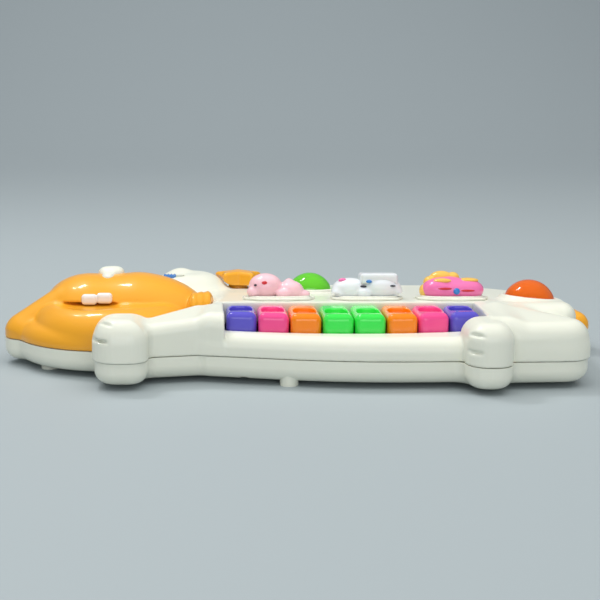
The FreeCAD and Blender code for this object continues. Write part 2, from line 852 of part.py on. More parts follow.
def button_pink():
    """Pink figure: big head with ears and snout beside a smaller body."""
    side = puck_length / 2 - pink_head_radius
    tail = puck_length / 2 - pink_body_radius
    lift = puck_rise + pink_head_radius / 3
    half_head = pink_head_radius / 2
    balls = [(-side, 0, lift, pink_head_radius), (tail, 0, puck_rise, pink_body_radius),
             (-side, -pink_head_radius, lift, figure_snout_radius),
             (-side - half_head, half_head, lift + half_head, figure_ear_radius),
             (-side + half_head, half_head, lift + half_head, figure_ear_radius)]
    return figure_button(pink_x, balls, [])


def button_white():
    """White figure: round head under a block cap, with body and feet to both sides."""
    lift = puck_rise + white_head_radius / 4
    foot = puck_length / 2 - figure_foot_radius
    balls = [(0, 0, lift, white_head_radius), (-foot, 0, puck_rise, figure_foot_radius),
             (foot, 0, puck_rise, figure_foot_radius),
             (-foot / 2, -figure_foot_radius, puck_rise, figure_foot_radius),
             (foot / 2, -figure_foot_radius, puck_rise, figure_foot_radius)]
    top = lift + white_head_radius
    cap = block(0, 0, top - cap_height, cap_width, cap_depth, top + cap_height / 4)
    cap = cap.makeFillet(cap_edge_radius, cap.Edges)
    return figure_button(white_x, balls, [cap])


def button_yellow():
    """Pink and yellow figure: low broad body with a crest and two feet."""
    lift = puck_rise + yellow_head_radius / 5
    side = puck_length / 2 - yellow_head_radius
    balls = [(-side, 0, lift, yellow_head_radius),
             (puck_length / 2 - yellow_body_radius, 0, puck_rise, yellow_body_radius),
             (-side, figure_ear_radius, lift + yellow_head_radius / 2, yellow_head_radius / 2),
             (0, -figure_foot_radius, puck_rise, yellow_body_radius)]
    return figure_button(yellow_x, balls, [])


def dome_green():
    """Green dome button: hollow cap with a retaining flange and stem."""
    cap_radius = (dome_radius ** 2 + dome_rise ** 2) / (2 * dome_rise)
    low = -wall - slide_gap / 2
    skirt = cylinder(0, 0, low, dome_rise + collar_height, dome_radius)
    cap = skirt.common(ball(0, 0, dome_rise + collar_height, cap_radius))
    inner = cylinder(0, 0, low + dome_wall, dome_rise + collar_height, dome_radius - dome_wall)
    inner = inner.common(ball(0, 0, dome_rise + collar_height - dome_wall, cap_radius - dome_wall))
    flange = cylinder(0, 0, low - flange_thickness, low, dome_radius + flange_margin)
    stem = cylinder(0, 0, -stem_length(dome_y), low, stem_radius)
    return placed(fused([cap.cut(inner), flange, stem]), on_deck(dome_x, dome_y))


def star_button():
    """Orange star-shaped button on a round neck."""
    tips = []
    for step in range(2 * star_points):
        reach = star_radius if step % 2 == 0 else star_radius * star_inner_share
        angle = math.pi / 2 + step * math.pi / star_points
        tips.append((reach * math.cos(angle), reach * math.sin(angle), star_tip_radius))
    outline = rounded_outline(tips)
    head = soft_prism(outline, star_lift, star_lift + star_thickness, star_edge_radius)
    peak = ball(0, 0, star_peak, star_peak_radius)
    peak = peak.common(prism(inset_face(outline, star_edge_radius), star_lift + star_edge_radius,
                             star_peak + overrun))
    low = -wall - slide_gap / 2
    neck = cylinder(0, 0, low, star_lift + star_edge_radius, star_stem_radius)
    flange = cylinder(0, 0, low - flange_thickness, low, star_stem_radius + flange_margin)
    stem = cylinder(0, 0, -stem_length(star_y), low, stem_radius)
    return placed(fused([head, peak, neck, flange, stem]), on_deck(star_x, star_y))


def button_pads():
    """Rubber contact domes on the main board, one under each push button."""
    low = main_board_bottom + board_thickness
    places = [(x, figure_y) for x in figure_places] + [(dome_x, dome_y), (star_x, star_y)]
    return [Part.makeCone(pad_radius, stem_radius, pad_height, Vector(x, pad_y(y), low)) for x, y in places]


def pad_y(y):
    """Where a stem square to the deck meets the main board."""
    return y - (stem_length(y) + stem_gap) * math.sin(math.radians(deck_tilt_deg))


def lens_orange():
    """Orange light dome held by a flange under its seat."""
    cap_radius = (lens_radius ** 2 + lens_rise ** 2) / (2 * lens_rise)
    top = lens_seat_height + lens_rise
    low = -2 * wall
    skirt = cylinder(0, 0, low, top, lens_radius).common(ball(0, 0, top, cap_radius))
    inner = cylinder(0, 0, low - overrun, top, lens_radius - lens_wall)
    inner = inner.common(ball(0, 0, top - lens_wall, cap_radius - lens_wall))
    flange = cylinder(0, 0, low - lens_wall, low, lens_radius + lens_flange)
    hole = cylinder(0, 0, low - overrun, low + overrun, lens_radius - lens_wall)
    return placed(fused([skirt.cut(inner), flange]).cut(hole), lens_place())


def lamp():
    """Light-emitting diode on its post under the light dome."""
    low = lamp_base
    body = cylinder(lens_x, lens_y, low, low + lamp_height - lamp_radius, lamp_radius)
    return fused([body, ball(lens_x, lens_y, low + lamp_height, lamp_radius)])


# Slide switch

def switch_knob():
    """Blue knob on the shoulder boss, with a stem down into the switch."""
    x = switch_x - switch_travel / 2
    low = switch_boss_top + slide_gap
    grip = block(x, switch_y, low, knob_length, knob_width, low + knob_height)
    grip = grip.makeFillet(knob_edge_radius, edges_at(grip, low + knob_height))
    stem = block(x, switch_y, switch_boss_base + slide_gap, knob_stem_length, knob_stem_width, low)
    return fused([grip, stem])


def switch_body():
    """Slide switch fixed under the shoulder boss."""
    low = switch_boss_base - switch_body_height
    return block(switch_x, switch_y, low, switch_body_length, switch_body_width, switch_boss_base)


# Boards

def board_posts():
    """Places of the posts that carry the main board."""
    left = main_board_left + board_post_inset
    right = main_board_right - board_post_inset
    middle = main_board_middle - board_post_inset
    front = main_board_front + board_post_inset
    back = main_board_back - board_post_inset
    return [(left, front), (right, front), (left, back), (middle, back), (middle, front)]


def main_board():
    """Stepped main board under the push buttons."""
    high = main_board_bottom + board_thickness
    strip = Part.makeBox(main_board_right - main_board_left, main_board_step - main_board_front,
                         board_thickness,
                         Vector(main_board_left, main_board_front, main_board_bottom))
    panel = Part.makeBox(main_board_middle - main_board_left, main_board_back - main_board_front,
                         board_thickness,
                         Vector(main_board_left, main_board_front, main_board_bottom))
    holes = [cylinder(x, y, main_board_bottom - overrun, high + overrun, board_screw_radius + screw_fit)
             for x, y in board_posts()]
    return fused([strip, panel]).cut(holes)


def board_screws():
    """Screws through the main board into its posts."""
    seat = main_board_bottom + board_thickness
    screws = []
    for x, y in board_posts():
        head = cylinder(x, y, seat, seat + board_screw_head_height, board_screw_head_radius)
        shank = cylinder(x, y, seat - board_screw_length, seat, board_screw_radius)
        screws.append(fused([head, shank]))
    return screws


def sound_chip():
    """Square sound chip on the main board."""
    low = main_board_bottom + board_thickness
    return block(chip_x, chip_y, low, chip_size, chip_size, low + chip_height)


# Speaker

def speaker_floor():
    """Height of the inner floor that the speaker lies on."""
    return floor_height + wall


def cone_sheet_solid(low_radius, high_radius, low, high, sheet):
    """Thin conical sheet about the speaker's axis."""
    outer = Part.makeCone(low_radius, high_radius, high - low, Vector(speaker_x, speaker_y, low))
    inner = Part.makeCone(low_radius - sheet, high_radius - sheet, high - low,
                          Vector(speaker_x, speaker_y, low))
    return outer.cut(inner)


def speaker_frame():
    """Pressed basket with a flat rim."""
    low = speaker_floor()
    rim_top = low + speaker_rim_height
    rim = cylinder(speaker_x, speaker_y, low, rim_top, speaker_radius)
    rim = rim.cut(cylinder(speaker_x, speaker_y, low - overrun, rim_top + overrun,
                           speaker_radius - 2 * speaker_sheet))
    top = low + speaker_basket_height
    basket = cone_sheet_solid(speaker_radius - speaker_sheet, speaker_basket_radius, low, top, speaker_sheet)
    lid = cylinder(speaker_x, speaker_y, top - speaker_sheet, top, speaker_basket_radius)
    return fused([rim, basket, lid])


def speaker_magnet():
    """Round magnet on the back of the basket."""
    low = speaker_floor() + speaker_basket_height
    return cylinder(speaker_x, speaker_y, low, low + magnet_height, magnet_radius)


def speaker_cone():
    """Paper cone and dust cap inside the basket."""
    low = speaker_floor() + cone_gap
    high = speaker_floor() + speaker_basket_height - speaker_sheet - cone_gap
    rim_radius = speaker_radius - 2 * speaker_sheet - cone_gap
    paper = cone_sheet_solid(rim_radius - speaker_sheet, dust_cap_radius, low, high, cone_sheet)
    cap = cylinder(speaker_x, speaker_y, high - speaker_sheet, high, dust_cap_radius)
    return fused([paper, cap])


def grille_holes():
    """Rings of sound holes in the floor under the speaker."""
    holes = [cylinder(speaker_x, speaker_y, 0, speaker_floor() + overrun, grille_hole_radius)]
    for ring in range(1, grille_rings + 1):
        count = ring * grille_first_count
        for step in range(count):
            angle = 2 * math.pi * step / count
            x = speaker_x + ring * grille_ring_pitch * math.cos(angle)
            y = speaker_y + ring * grille_ring_pitch * math.sin(angle)
            holes.append(cylinder(x, y, 0, speaker_floor() + overrun, grille_hole_radius))
    return holes


# Batteries

cell_room_x = battery_length + battery_nub_length + 2 * battery_end_room
cell_room_y = battery_count * (2 * battery_radius + battery_gap) + battery_gap
door_length = cell_room_x + 2 * door_lip
door_width = cell_room_y + 2 * door_lip
cell_low = floor_height + door_thickness + battery_gap
cell_roof = cell_low + 2 * battery_radius + battery_gap
door_left = battery_x - door_length / 2
hinge_x = door_left + door_thickness / 2
hinge_z = floor_height + door_thickness / 2


def battery_y_at(index):
    """Middle of one battery across the box."""
    return battery_y + (index - (battery_count - 1) / 2) * (2 * battery_radius + battery_gap)


def batteries():
    """Three round cells lying side by side, ends swapped in turn."""
    cells = []
    z = cell_low + battery_radius
    for index in range(battery_count):
        side = 1 if index % 2 == 0 else -1
        shift = side * battery_nub_length / 2
        y = battery_y_at(index)
        can = along_x(battery_x - shift, battery_length, battery_radius, y, z)
        tip = battery_x - shift + side * battery_length / 2
        nub = along_x(tip, 2 * battery_nub_length, battery_nub_radius, y, z)
        cells.append(fused([can, nub]))
    return cells


def battery_contacts():
    """Sprung plates at both ends of the battery box."""
    pieces = []
    z = cell_low + battery_radius
    for side in (-1, 1):
        wall_x = battery_x + side * (cell_room_x - contact_thickness) / 2
        plate = block(wall_x, battery_y, cell_low, contact_thickness, cell_room_y - battery_gap,
                      cell_low + 2 * battery_radius)
        reach = battery_end_room - contact_thickness
        springs = [along_x(wall_x - side * reach / 2, reach, contact_spring_radius, battery_y_at(i), z)
                   for i in range(battery_count)]
        pieces.append(fused([plate] + springs))
    return pieces


def battery_box():
    """Walls and roof round the batteries, standing on the floor of the lower shell."""
    low = floor_height + wall / 2
    return block(battery_x, battery_y, low, door_length + 2 * door_gap + 2 * wall,
                 door_width + 2 * door_gap + 2 * wall, cell_roof + wall)


def battery_room():
    """Space for the batteries and, below it, the opening that the door closes."""
    cells = block(battery_x, battery_y, 0, cell_room_x, cell_room_y, cell_roof)
    opening = block(battery_x, battery_y, 0, door_length + 2 * door_gap, door_width + 2 * door_gap,
                    floor_height + door_thickness + door_gap)
    pins = hinge_pins(hinge_clearance)
    return [cells, opening] + pins


def hinge_pins(grow):
    """Door hinge pins at both sides; grown by a clearance they are their sockets."""
    length = door_width + 2 * hinge_pin_length
    start = battery_y - length / 2
    return [Part.makeCylinder(hinge_pin_radius + grow, length, Vector(hinge_x, start, hinge_z), ALONG)]


def battery_door():
    """Door under the batteries with a rounded hinge edge and two hinge pins."""
    panel = Part.makeBox(door_length - door_thickness / 2, door_width, door_thickness,
                         Vector(hinge_x, battery_y - door_width / 2, floor_height))
    edge = Part.makeCylinder(door_thickness / 2, door_width,
                             Vector(hinge_x, battery_y - door_width / 2, hinge_z),
                             ALONG)
    return fused([panel, edge] + hinge_pins(0))


# Lower shell and screws

def case_bosses(outer):
    """Screw posts of the lower shell."""
    places = upper_boss_places + head_boss_places
    return [cylinder(x, y, floor_height, seam_height, boss_radius).common(outer) for x, y in places]


def screw_seats():
    """Counterbored screw holes through the lower shell."""
    cuts = []
    for x, y in upper_boss_places + head_boss_places:
        cuts.append(cylinder(x, y, 0, floor_height + case_screw_recess, case_screw_head_radius + slide_gap))
        cuts.append(cylinder(x, y, 0, seam_height + overrun, case_screw_radius + screw_fit))
    return cuts


def feet():
    """Peg feet under the tray, kept inside its outline."""
    outline = prism(case_plan, 0, seam_height)
    top = floor_height + bottom_edge_radius
    return [cylinder(x, y, 0, top, foot_radius).common(outline) for x, y in case_points(foot_places_shares)]


def lower_shell():
    """White tray: rounded bottom edge, peg feet, posts, battery box and speaker grille."""
    outer = prism(case_plan, floor_height, seam_height)
    outer = outer.makeFillet(bottom_edge_radius, edges_at(outer, floor_height))
    outer = fused([outer] + feet())
    inner = prism(inset_face(case_plan, wall), floor_height + wall, seam_height + overrun)
    inner = inner.makeFillet(bottom_edge_radius - wall, edges_at(inner, floor_height + wall))
    shell = outer.cut(inner)
    inner_floor = floor_height + wall / 2
    adds = case_bosses(outer) + [battery_box()]
    adds += [cylinder(x, y, inner_floor, main_board_bottom, board_post_radius) for x, y in board_posts()]
    rail_y = (key_board_front + key_board_back) / 2
    adds += [block(x, rail_y, inner_floor, bracket_thickness, key_board_back - key_board_front,
                   key_board_bottom)
             for x in (well_left + boss_radius, key_row_x, well_right - boss_radius)]
    adds.append(cylinder(lens_x, lens_y, inner_floor, lamp_base, lamp_stand_radius))
    ring = cylinder(speaker_x, speaker_y, inner_floor, speaker_floor() + speaker_ring_height,
                    speaker_radius + cone_gap + speaker_ring_wall)
    adds.append(ring.cut(cylinder(speaker_x, speaker_y, 0, seam_height, speaker_radius + cone_gap)))
    shell = fused([shell] + adds)
    post_holes = [cylinder(x, y, main_board_bottom - board_screw_length, main_board_bottom + overrun,
                           board_screw_radius + screw_fit) for x, y in board_posts()]
    return shell.cut(battery_room() + screw_seats() + grille_holes() + post_holes)


def case_screws():
    """Long screws that hold the covers to the lower shell."""
    seat = floor_height + case_screw_recess
    screws = []
    for x, y in upper_boss_places + head_boss_places:
        head = cylinder(x, y, seat - case_screw_head_height, seat, case_screw_head_radius)
        shank = cylinder(x, y, seat, seat + case_screw_length, case_screw_radius)
        screws.append(fused([head, shank]))
    return screws


def build():
    """Every node of the part by name; a group is a list of separate solids."""
    nodes = {
        "lower_shell": lower_shell(), "upper_shell": upper_shell(), "tail_cover": tail_cover(),
        "head_cover": head_cover(), "nose": nose(0), "teeth": teeth(),
        "eye_left": eye(-1), "eye_right": eye(1), "iris_left": iris(-1), "iris_right": iris(1)}
    for index in range(key_count):
        nodes["key_%d" % (index + 1)] = key(index)
    nodes.update({
        "key_rod": key_rod(), "key_board": key_board(), "key_pad": key_pad(),
        "plate_pink": button_plate(pink_x), "plate_white": button_plate(white_x),
        "plate_yellow": button_plate(yellow_x),
        "button_pink": button_pink(), "button_white": button_white(), "button_yellow": button_yellow(),
        "dome_green": dome_green(), "star_button": star_button(), "button_pads": button_pads(),
        "lens_orange": lens_orange(), "lamp": lamp(),
        "switch_knob": switch_knob(), "switch_body": switch_body(),
        "main_board": main_board(), "board_screws": board_screws(), "sound_chip": sound_chip(),
        "speaker_frame": speaker_frame(), "speaker_cone": speaker_cone(), "speaker_magnet": speaker_magnet(),
        "batteries": batteries(), "battery_contacts": battery_contacts(), "battery_door": battery_door(),
        "case_screws": case_screws()})
    return nodes


def main():
    """Write one STEP file for each node."""
    os.makedirs("parts", exist_ok=True)
    for name, shape in build().items():
        solids = shape if isinstance(shape, list) else shape.Solids
        group = solids[0] if len(solids) == 1 else Part.makeCompound(solids)
        group.exportStep("parts/%s.step" % name)
        valid = all(solid.isValid() for solid in solids)
        print("%-16s solids %d valid %s volume %.0f" % (name, len(solids), valid, group.Volume))


if __name__ == "__main__":
    main()
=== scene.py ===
# Looks of the toy piano: moulded skins, keys, figures, clear domes, finishes, studio and camera.
# Lengths are in millimetres in the part's own frame until a mesh is made, which is in metres.
import bpy
import json
import math
import numpy as np
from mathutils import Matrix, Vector


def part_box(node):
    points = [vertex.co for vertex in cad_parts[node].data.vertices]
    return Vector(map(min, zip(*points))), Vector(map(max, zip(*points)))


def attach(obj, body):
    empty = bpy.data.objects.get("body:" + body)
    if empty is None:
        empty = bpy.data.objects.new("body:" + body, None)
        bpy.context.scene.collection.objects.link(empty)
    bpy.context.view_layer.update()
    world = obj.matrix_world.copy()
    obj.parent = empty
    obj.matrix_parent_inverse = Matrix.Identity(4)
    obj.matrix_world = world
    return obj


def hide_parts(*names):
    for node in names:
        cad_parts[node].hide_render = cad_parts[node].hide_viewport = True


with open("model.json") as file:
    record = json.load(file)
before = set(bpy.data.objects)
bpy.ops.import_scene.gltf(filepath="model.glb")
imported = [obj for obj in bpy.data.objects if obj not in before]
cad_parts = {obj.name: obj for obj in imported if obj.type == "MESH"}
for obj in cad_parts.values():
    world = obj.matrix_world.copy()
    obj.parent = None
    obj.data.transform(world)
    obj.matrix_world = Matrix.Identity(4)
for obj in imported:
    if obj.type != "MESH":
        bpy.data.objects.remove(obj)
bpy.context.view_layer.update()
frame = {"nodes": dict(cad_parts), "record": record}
MM = 0.001

# Case
case_length = 394.0
case_depth = 226.0
seam_height = 17.0
seam_gap = 0.25
seam_lip = 0.5
lip_radius = 1.0
wall = 2.2
head_wall = 2.0
cover_gap = 0.4
skin_step = 0.8
head_step = 0.8
fine_step = 0.4

# Outlines as shares of case length (x) and case depth (y, corner radius)
body_outline_shares = [
    (-0.180, -0.343, 0.035), (0.051, -0.429, 1.33), (0.426, -0.411, 0.071),
    (0.450, 0.080, 0.266), (0.355, 0.478, 0.310), (0.127, 0.500, 0.531),
    (-0.239, 0.500, 0.106), (-0.261, 0.274, 0.071), (-0.208, 0.212, 0.044), (-0.152, 0.009, 0.133)]
arm_outline_shares = [
    (-0.336, -0.449, 0.062), (-0.253, -0.449, 0.055), (-0.253, -0.372, 0.020),
    (-0.157, -0.336, 0.053), (-0.142, -0.195, 0.044), (-0.178, -0.159, 0.035),
    (-0.264, -0.274, 0.066), (-0.336, -0.274, 0.062)]
hind_paw_outline_shares = [
    (0.228, -0.500, 0.058), (0.300, -0.500, 0.058), (0.300, -0.316, 0.058), (0.228, -0.316, 0.058)]
haunch_outline_shares = [
    (0.279, -0.431, 0.062), (0.428, -0.414, 0.080), (0.434, -0.177, 0.088),
    (0.355, -0.097, 0.088), (0.284, -0.177, 0.088)]
corner_steps = 8

# White cover
deck_front_height = 43.5
deck_back_height = 30.0
deck_front_y = -37.0
rump_front_x = 128.0
rump_front_y = -52.0
rump_front_round = 14.0
deck_edge_radius = 9.0
ledge_height = 31.0
ledge_edge_radius = 9.0
paw_height = 42.5
paw_edge_radius = 11.0
paw_blend = 2.0
haunch_edge_radius = 9.5
haunch_top_place = (154.0, -72.0, 42.0)
haunch_back_rise = 0.12
haunch_fall_deg = 24.0
haunch_fall_turn_deg = 38.0
haunch_top_blend = 4.0
arm_top_place = (-100.0, -62.0, 38.6)
arm_top_slopes = (0.07, 0.09)
arm_edge_radius = 6.5
arm_paw_length_share = 0.10
arm_blend = 5.0
haunch_blend = 5.0
seat_blend = 5.0
shoulder_place = (-77.0, 78.0)
shoulder_radius = 30.0
shoulder_height = 44.8
shoulder_edge_radius = 20.0
shoulder_blend = 6.0
hump_place = (-82.7, 84.0, 35.3)
hump_radius = 12.0
hump_blend = 3.0
toe_sweep = 60.0
toe_radius = 1.2
toe_depth = 1.9
toe_blend = 0.6
toe_reach = 22.0
toe_turn_deg = 42.0
arm_toe_heights = (40.2, 30.4)
hind_toe_heights = (36.0, 26.0)
well_gap = 0.9
well_lip = 1.6

# Keys
key_count = 8
key_pitch = 19.8
key_gap = 0.8
key_row_x = 26.7
key_back_y = -38.0
key_middle_front_y = -75.4
key_bow_radius = 326.0
key_top = 42.0
key_bottom = 28.5
key_edge_radius = 4.4
key_corner_radius = 4.0
key_pocket_depth = 3.2
key_pocket_length = 16.5
key_pocket_rim = 6.0
key_pocket_margin = 2.5
key_pocket_setback = 6.5
key_pocket_corner = 5.4
key_pocket_front_corner = 1.5
key_pocket_blend = 0.7
key_wall = 1.8
key_lever_width = 9.0
key_lever_height = 4.0
key_hub_radius = 3.6
key_hub_width = 14.0
key_plunger_y = -56.0
key_plunger_radius = 2.6
key_plunger_bottom = 21.4
rod_y = -30.0
rod_z = 32.0
rod_hole_radius = 1.6

# Push buttons
figure_y = -14.0
pink_x = -16.8
white_x = 41.3
yellow_x = 97.3
puck_length = 42.0
puck_width = 28.0
puck_rise = 2.6
puck_edge_radius = 1.2
puck_depth = 3.9
puck_flange = 1.2
button_travel = 2.0
press_gap = 0.3
plate_length = 47.0
plate_width = 37.0
plate_thickness = 1.8
plate_edge_radius = 1.0
plate_scallop = 0.8
plate_scallop_count = 9
hole_gap = 0.4
dome_place = (9.5, 53.0)
dome_radius = 15.5
dome_rise = 11.0
dome_wall = 1.6
collar_width = 3.0
collar_height = 2.2
star_place = (-40.5, 86.0)
star_radius = 19.8
star_inner_share = 0.58
star_points = 5
star_bottom = 2.4
star_tip_height = 11.0
star_peak_height = 13.6
star_edge_radius = 2.4
star_neck_radius = 7.0
lens_place = (149.5, -12.0)
lens_radius = 16.5
lens_rise = 12.0
lens_wall = 1.8
lens_tilt = math.radians(8.0)
lens_seat_height = 0.7
lens_seat_width = 2.4

# Slide switch
switch_place = (-88.0, 68.0)
switch_boss_radius = 9.5
switch_boss_top = 42.2
switch_boss_base = 33.2
switch_recess = (15.6, 6.6)
switch_slot_length = 9.8
switch_slot_width = 3.8

# Head
head_place = (-128.0, -3.0)
head_radius = 64.0
chin_place = (-126.0, -13.0)
chin_radius = 54.0
cheek_place = (-183.0, -17.0)
cheek_radius = 14.0
right_cheek_place = (-73.0, -17.0)
tuft_place = (-74.0, -32.0)
tuft_base_radius = 13.0
left_ear_place = (-160.0, 60.0)
right_ear_place = (-120.0, 70.0)
ear_radius = 18.0
head_rim_height = 30.0
head_rim_radius = 11.0
head_plan_blend = 4.0
ear_web_blend = 13.0
ear_web_reach = 10.0
face_blend = 3.0
cheek_blend = 1.2
muzzle_blend = 9.0
eye_spread = 17.0
eye_y = 40.0
eye_hole_radius = 10.2
chin_height = 41.0
chin_edge_radius = 18.5
forehead_place = (-128.0, 36.0, -12.5)
forehead_radius = 54.0
muzzle_ovals = [
    ((-142.0, 0.0, 33.0), (31.0, 32.0, 23.0)), ((-110.0, 1.0, 32.0), (34.0, 33.0, 24.6)),
    ((-90.0, -4.0, 22.0), (30.0, 30.0, 28.5))]
left_cheek_start = (-183.0, -17.0, 20.0)
left_cheek_end = (-158.0, -10.0, 36.0)
left_cheek_radius = 13.5
mouth_place = (-141.0, -34.0, 40.6)
mouth_size = (22.0, 16.0, 1.2)
tuft_count = 3
tuft_pitch = 4.4
tuft_blend = 2.4
tuft_start = (-72.2, -25.0, 37.0)
tuft_size = (4.4, 12.0, 10.6)

# Figures on the buttons: centre and half size of each rounded lump, over the deck at the button's middle
figure_blend = 1.6
paint_blend = 0.6
pink_lumps = [
    ((-8.5, 0.0, 8.4), (11.0, 10.5, 8.6)), ((8.0, 0.0, 5.6), (8.6, 8.8, 6.6)),
    ((15.0, 0.0, 3.4), (6.0, 6.0, 2.8)), ((-16.5, -4.5, 5.0), (4.4, 4.6, 3.6)),
    ((2.5, -7.5, 4.0), (4.6, 3.6, 3.0)), ((7.0, 1.0, 9.0), (3.4, 4.0, 4.6))]
pink_eyes = [((-15.4, -8.0, 9.6), (1.2, 1.0, 0.8))]
pink_cheeks = [((-9.6, -9.4, 11.2), (1.9, 1.4, 1.3))]
white_lumps = [
    ((-11.0, 0.0, 6.6), (11.8, 10.0, 7.4)), ((9.0, -0.5, 7.6), (13.6, 10.8, 8.0)),
    ((-19.0, -3.0, 4.0), (4.8, 5.4, 3.8)), ((-2.5, -7.5, 4.4), (5.0, 4.0, 3.4)),
    ((19.0, -2.0, 4.6), (4.6, 5.0, 4.2))]
white_cap_place = (7.4, 0.0, 13.6)
white_cap_half = (12.2, 8.2, 3.6)
white_cap_radius = 2.0
white_lids = [((-3.0, -7.4, 8.8), (2.6, 1.4, 0.7)), ((15.6, -9.4, 9.2), (2.4, 1.2, 0.7))]
white_bows = [((-16.0, -3.0, 12.4), (2.8, 2.2, 1.6))]
white_studs = [((0.6, -8.2, 12.0), (2.0, 1.6, 1.1))]
yellow_lumps = [
    ((-8.6, -1.0, 6.6), (11.0, 10.4, 7.4)), ((10.0, -1.0, 6.2), (11.0, 10.0, 7.0)),
    ((0.8, -1.0, 6.0), (16.0, 10.2, 6.8)), ((-2.0, 1.0, 9.6), (12.0, 8.6, 5.4))]
yellow_crests = [
    ((-6.0, 4.0, 13.4), (8.0, 5.6, 5.0)), ((-13.5, 3.0, 10.6), (4.6, 5.0, 4.4)),
    ((1.6, 4.0, 13.6), (4.4, 4.8, 4.0)), ((-17.5, 0.0, 5.4), (3.6, 4.6, 4.6)),
    ((-7.0, -5.6, 12.2), (6.0, 3.4, 1.8)), ((11.0, -1.0, 12.4), (6.6, 5.6, 1.8))]
yellow_cords = [((-6.5, -10.6, 7.4), (5.0, 1.2, 0.9)), ((8.5, -10.4, 6.2), (5.0, 1.2, 0.9))]
yellow_beads = [((1.4, -11.0, 5.8), (2.2, 1.6, 2.2))]

# Face pieces
nose_lumps = [((-131.2, 8.0, 55.2), (6.0, 7.0, 4.6)), ((-125.0, 8.0, 55.4), (5.6, 7.0, 4.5)),
              ((-129.8, -2.5, 54.2), (4.4, 6.6, 3.2))]
face_piece_reach = 8.0
tooth_width = 10.2
tooth_half_height = 3.5
tooth_half_depth = 2.6
tooth_radius = 2.3
tooth_places = [(-140.2, -28.6, 43.6), (-130.4, -28.6, 44.4)]
knob_half = (4.5, 2.5, 1.3)
knob_radius = 0.8
knob_ribs = 3
knob_rib_pitch = 2.2
knob_rib_radius = 0.5

# Finishes: plain numbers, scales per metre, depths in millimetres
cloud_scale = 18.0
cloud_detail = 3.0
cloud_gloss_share = 0.15
skin_scale = 900.0
skin_detail = 2.0
skin_depth = 0.2
plastic_specular = 0.3
plastic_coat_roughness = 0.06
plain_spread = 0.06
plain_grain = 0.02
plain_coat = 0.6
soft_radius_shares = (1.0, 0.8, 0.6)
soft_depth = 2.0
haze_scale = 60.0
haze_detail = 2.0
haze_lift = 1.25
clear_roughness = 0.12
clear_ior = 1.5
clear_coat = 0.4
clear_coat_roughness = 0.04
streak_scale = 250.0
streak_detail = 4.0
streak_gloss_share = 0.3

# Camera
camera_place = (-66.5, -827.0, 184.0)
upright_deg = 90.0
camera_pitch_deg = 10.0
camera_lens = 75.0
camera_sensor = 36.0
camera_shift = 0.1617

# Studio, in metres and watts
floor_depth = 4.6
floor_run = 3.6
floor_bend = 2.8
floor_bend_steps = 16
floor_colour = (0.37, 0.42, 0.44)
floor_roughness = 0.6
light_target = (0.0, -0.03, 0.02)
overhead_place = (0.0, -0.05, 1.4)
overhead_size = (2.6, 1.8)
overhead_power = 28.0
strip_place = (-0.40, 0.42, 1.15)
strip_size = (0.26, 0.12)
strip_power = 3.2
spot_place = (-0.66, 0.42, 1.15)
spot_size = (0.08, 0.12)
spot_power = 1.0
fill_place = (0.0, -1.6, 0.5)
fill_size = (1.6, 0.8)
fill_power = 8.0
wash_place = (0.0, 1.6, 2.2)
wash_target = (0.0, 4.0, 0.5)
wash_size = (3.0, 0.6)
wash_power = 40.0
warm_white = (1.0, 0.99, 0.96)
plain_white = (1.0, 1.0, 1.0)
cool_white = (0.97, 0.99, 1.0)
sky_colour = (0.80, 0.84, 0.88)
sky_strength = 0.30

deck_slope = (deck_front_height - deck_back_height) / (case_depth / 2 - deck_front_y)
deck_tilt = math.atan(deck_slope)
deck_cos = math.cos(deck_tilt)
deck_sin = math.sin(deck_tilt)
well_left = key_row_x - key_count * key_pitch / 2 - well_gap
well_right = key_row_x + key_count * key_pitch / 2 + well_gap


# Distance fields: negative inside, in millimetres

def smooth_union(a, b, reach):
    """Union whose inner corner is filled over a reach."""
    near = np.maximum(reach - np.abs(a - b), 0.0) / reach
    return np.minimum(a, b) - near * near * reach / 4


def smooth_common(a, b, reach):
    """Intersection whose outer corner is eased over a reach."""
    return -smooth_union(-a, -b, reach)


def smooth_cut(a, b, reach):
    """First field with the second removed and the rim eased."""
    return smooth_common(a, -b, reach)


def lidded(side, top, radius):
    """Wall field and top field met in a round edge."""
    w = side + radius
    h = top + radius
    return np.minimum(np.maximum(w, h), 0) + np.hypot(np.maximum(w, 0), np.maximum(h, 0)) - radius


def slab(x, low, high):
    """Space between two planes along one axis."""
    return np.maximum(low - x, x - high)


def round_box(x, y, z, half, radius):
    """Box about the origin with rounded edges."""
    qx = np.abs(x) - half[0] + radius
    qy = np.abs(y) - half[1] + radius
    qz = np.abs(z) - half[2] + radius
    outside = np.sqrt(np.maximum(qx, 0) ** 2 + np.maximum(qy, 0) ** 2 + np.maximum(qz, 0) ** 2)
    return outside + np.minimum(np.maximum(np.maximum(qx, qy), qz), 0) - radius


def oval(x, y, z, centre, size):
    """Ellipsoid, close to a true distance near its surface."""
    u = (x - centre[0]) / size[0]
    v = (y - centre[1]) / size[1]
    w = (z - centre[2]) / size[2]
    near = np.sqrt(u * u + v * v + w * w)
    slope = np.sqrt((u / size[0]) ** 2 + (v / size[1]) ** 2 + (w / size[2]) ** 2)
    return near * (near - 1) / np.maximum(slope, 1 / max(size) ** 2)


def ball(x, y, z, centre, radius):
    """Round ball."""
    return np.sqrt((x - centre[0]) ** 2 + (y - centre[1]) ** 2 + (z - centre[2]) ** 2) - radius


def disc(x, y, centre, radius):
    """Upright round post without ends."""
    return np.hypot(x - centre[0], y - centre[1]) - radius


def stadium(x, y, length, width):
    """Upright oval post without ends, long along X."""
    half = (length - width) / 2
    return np.hypot(np.maximum(np.abs(x) - half, 0), y) - width / 2


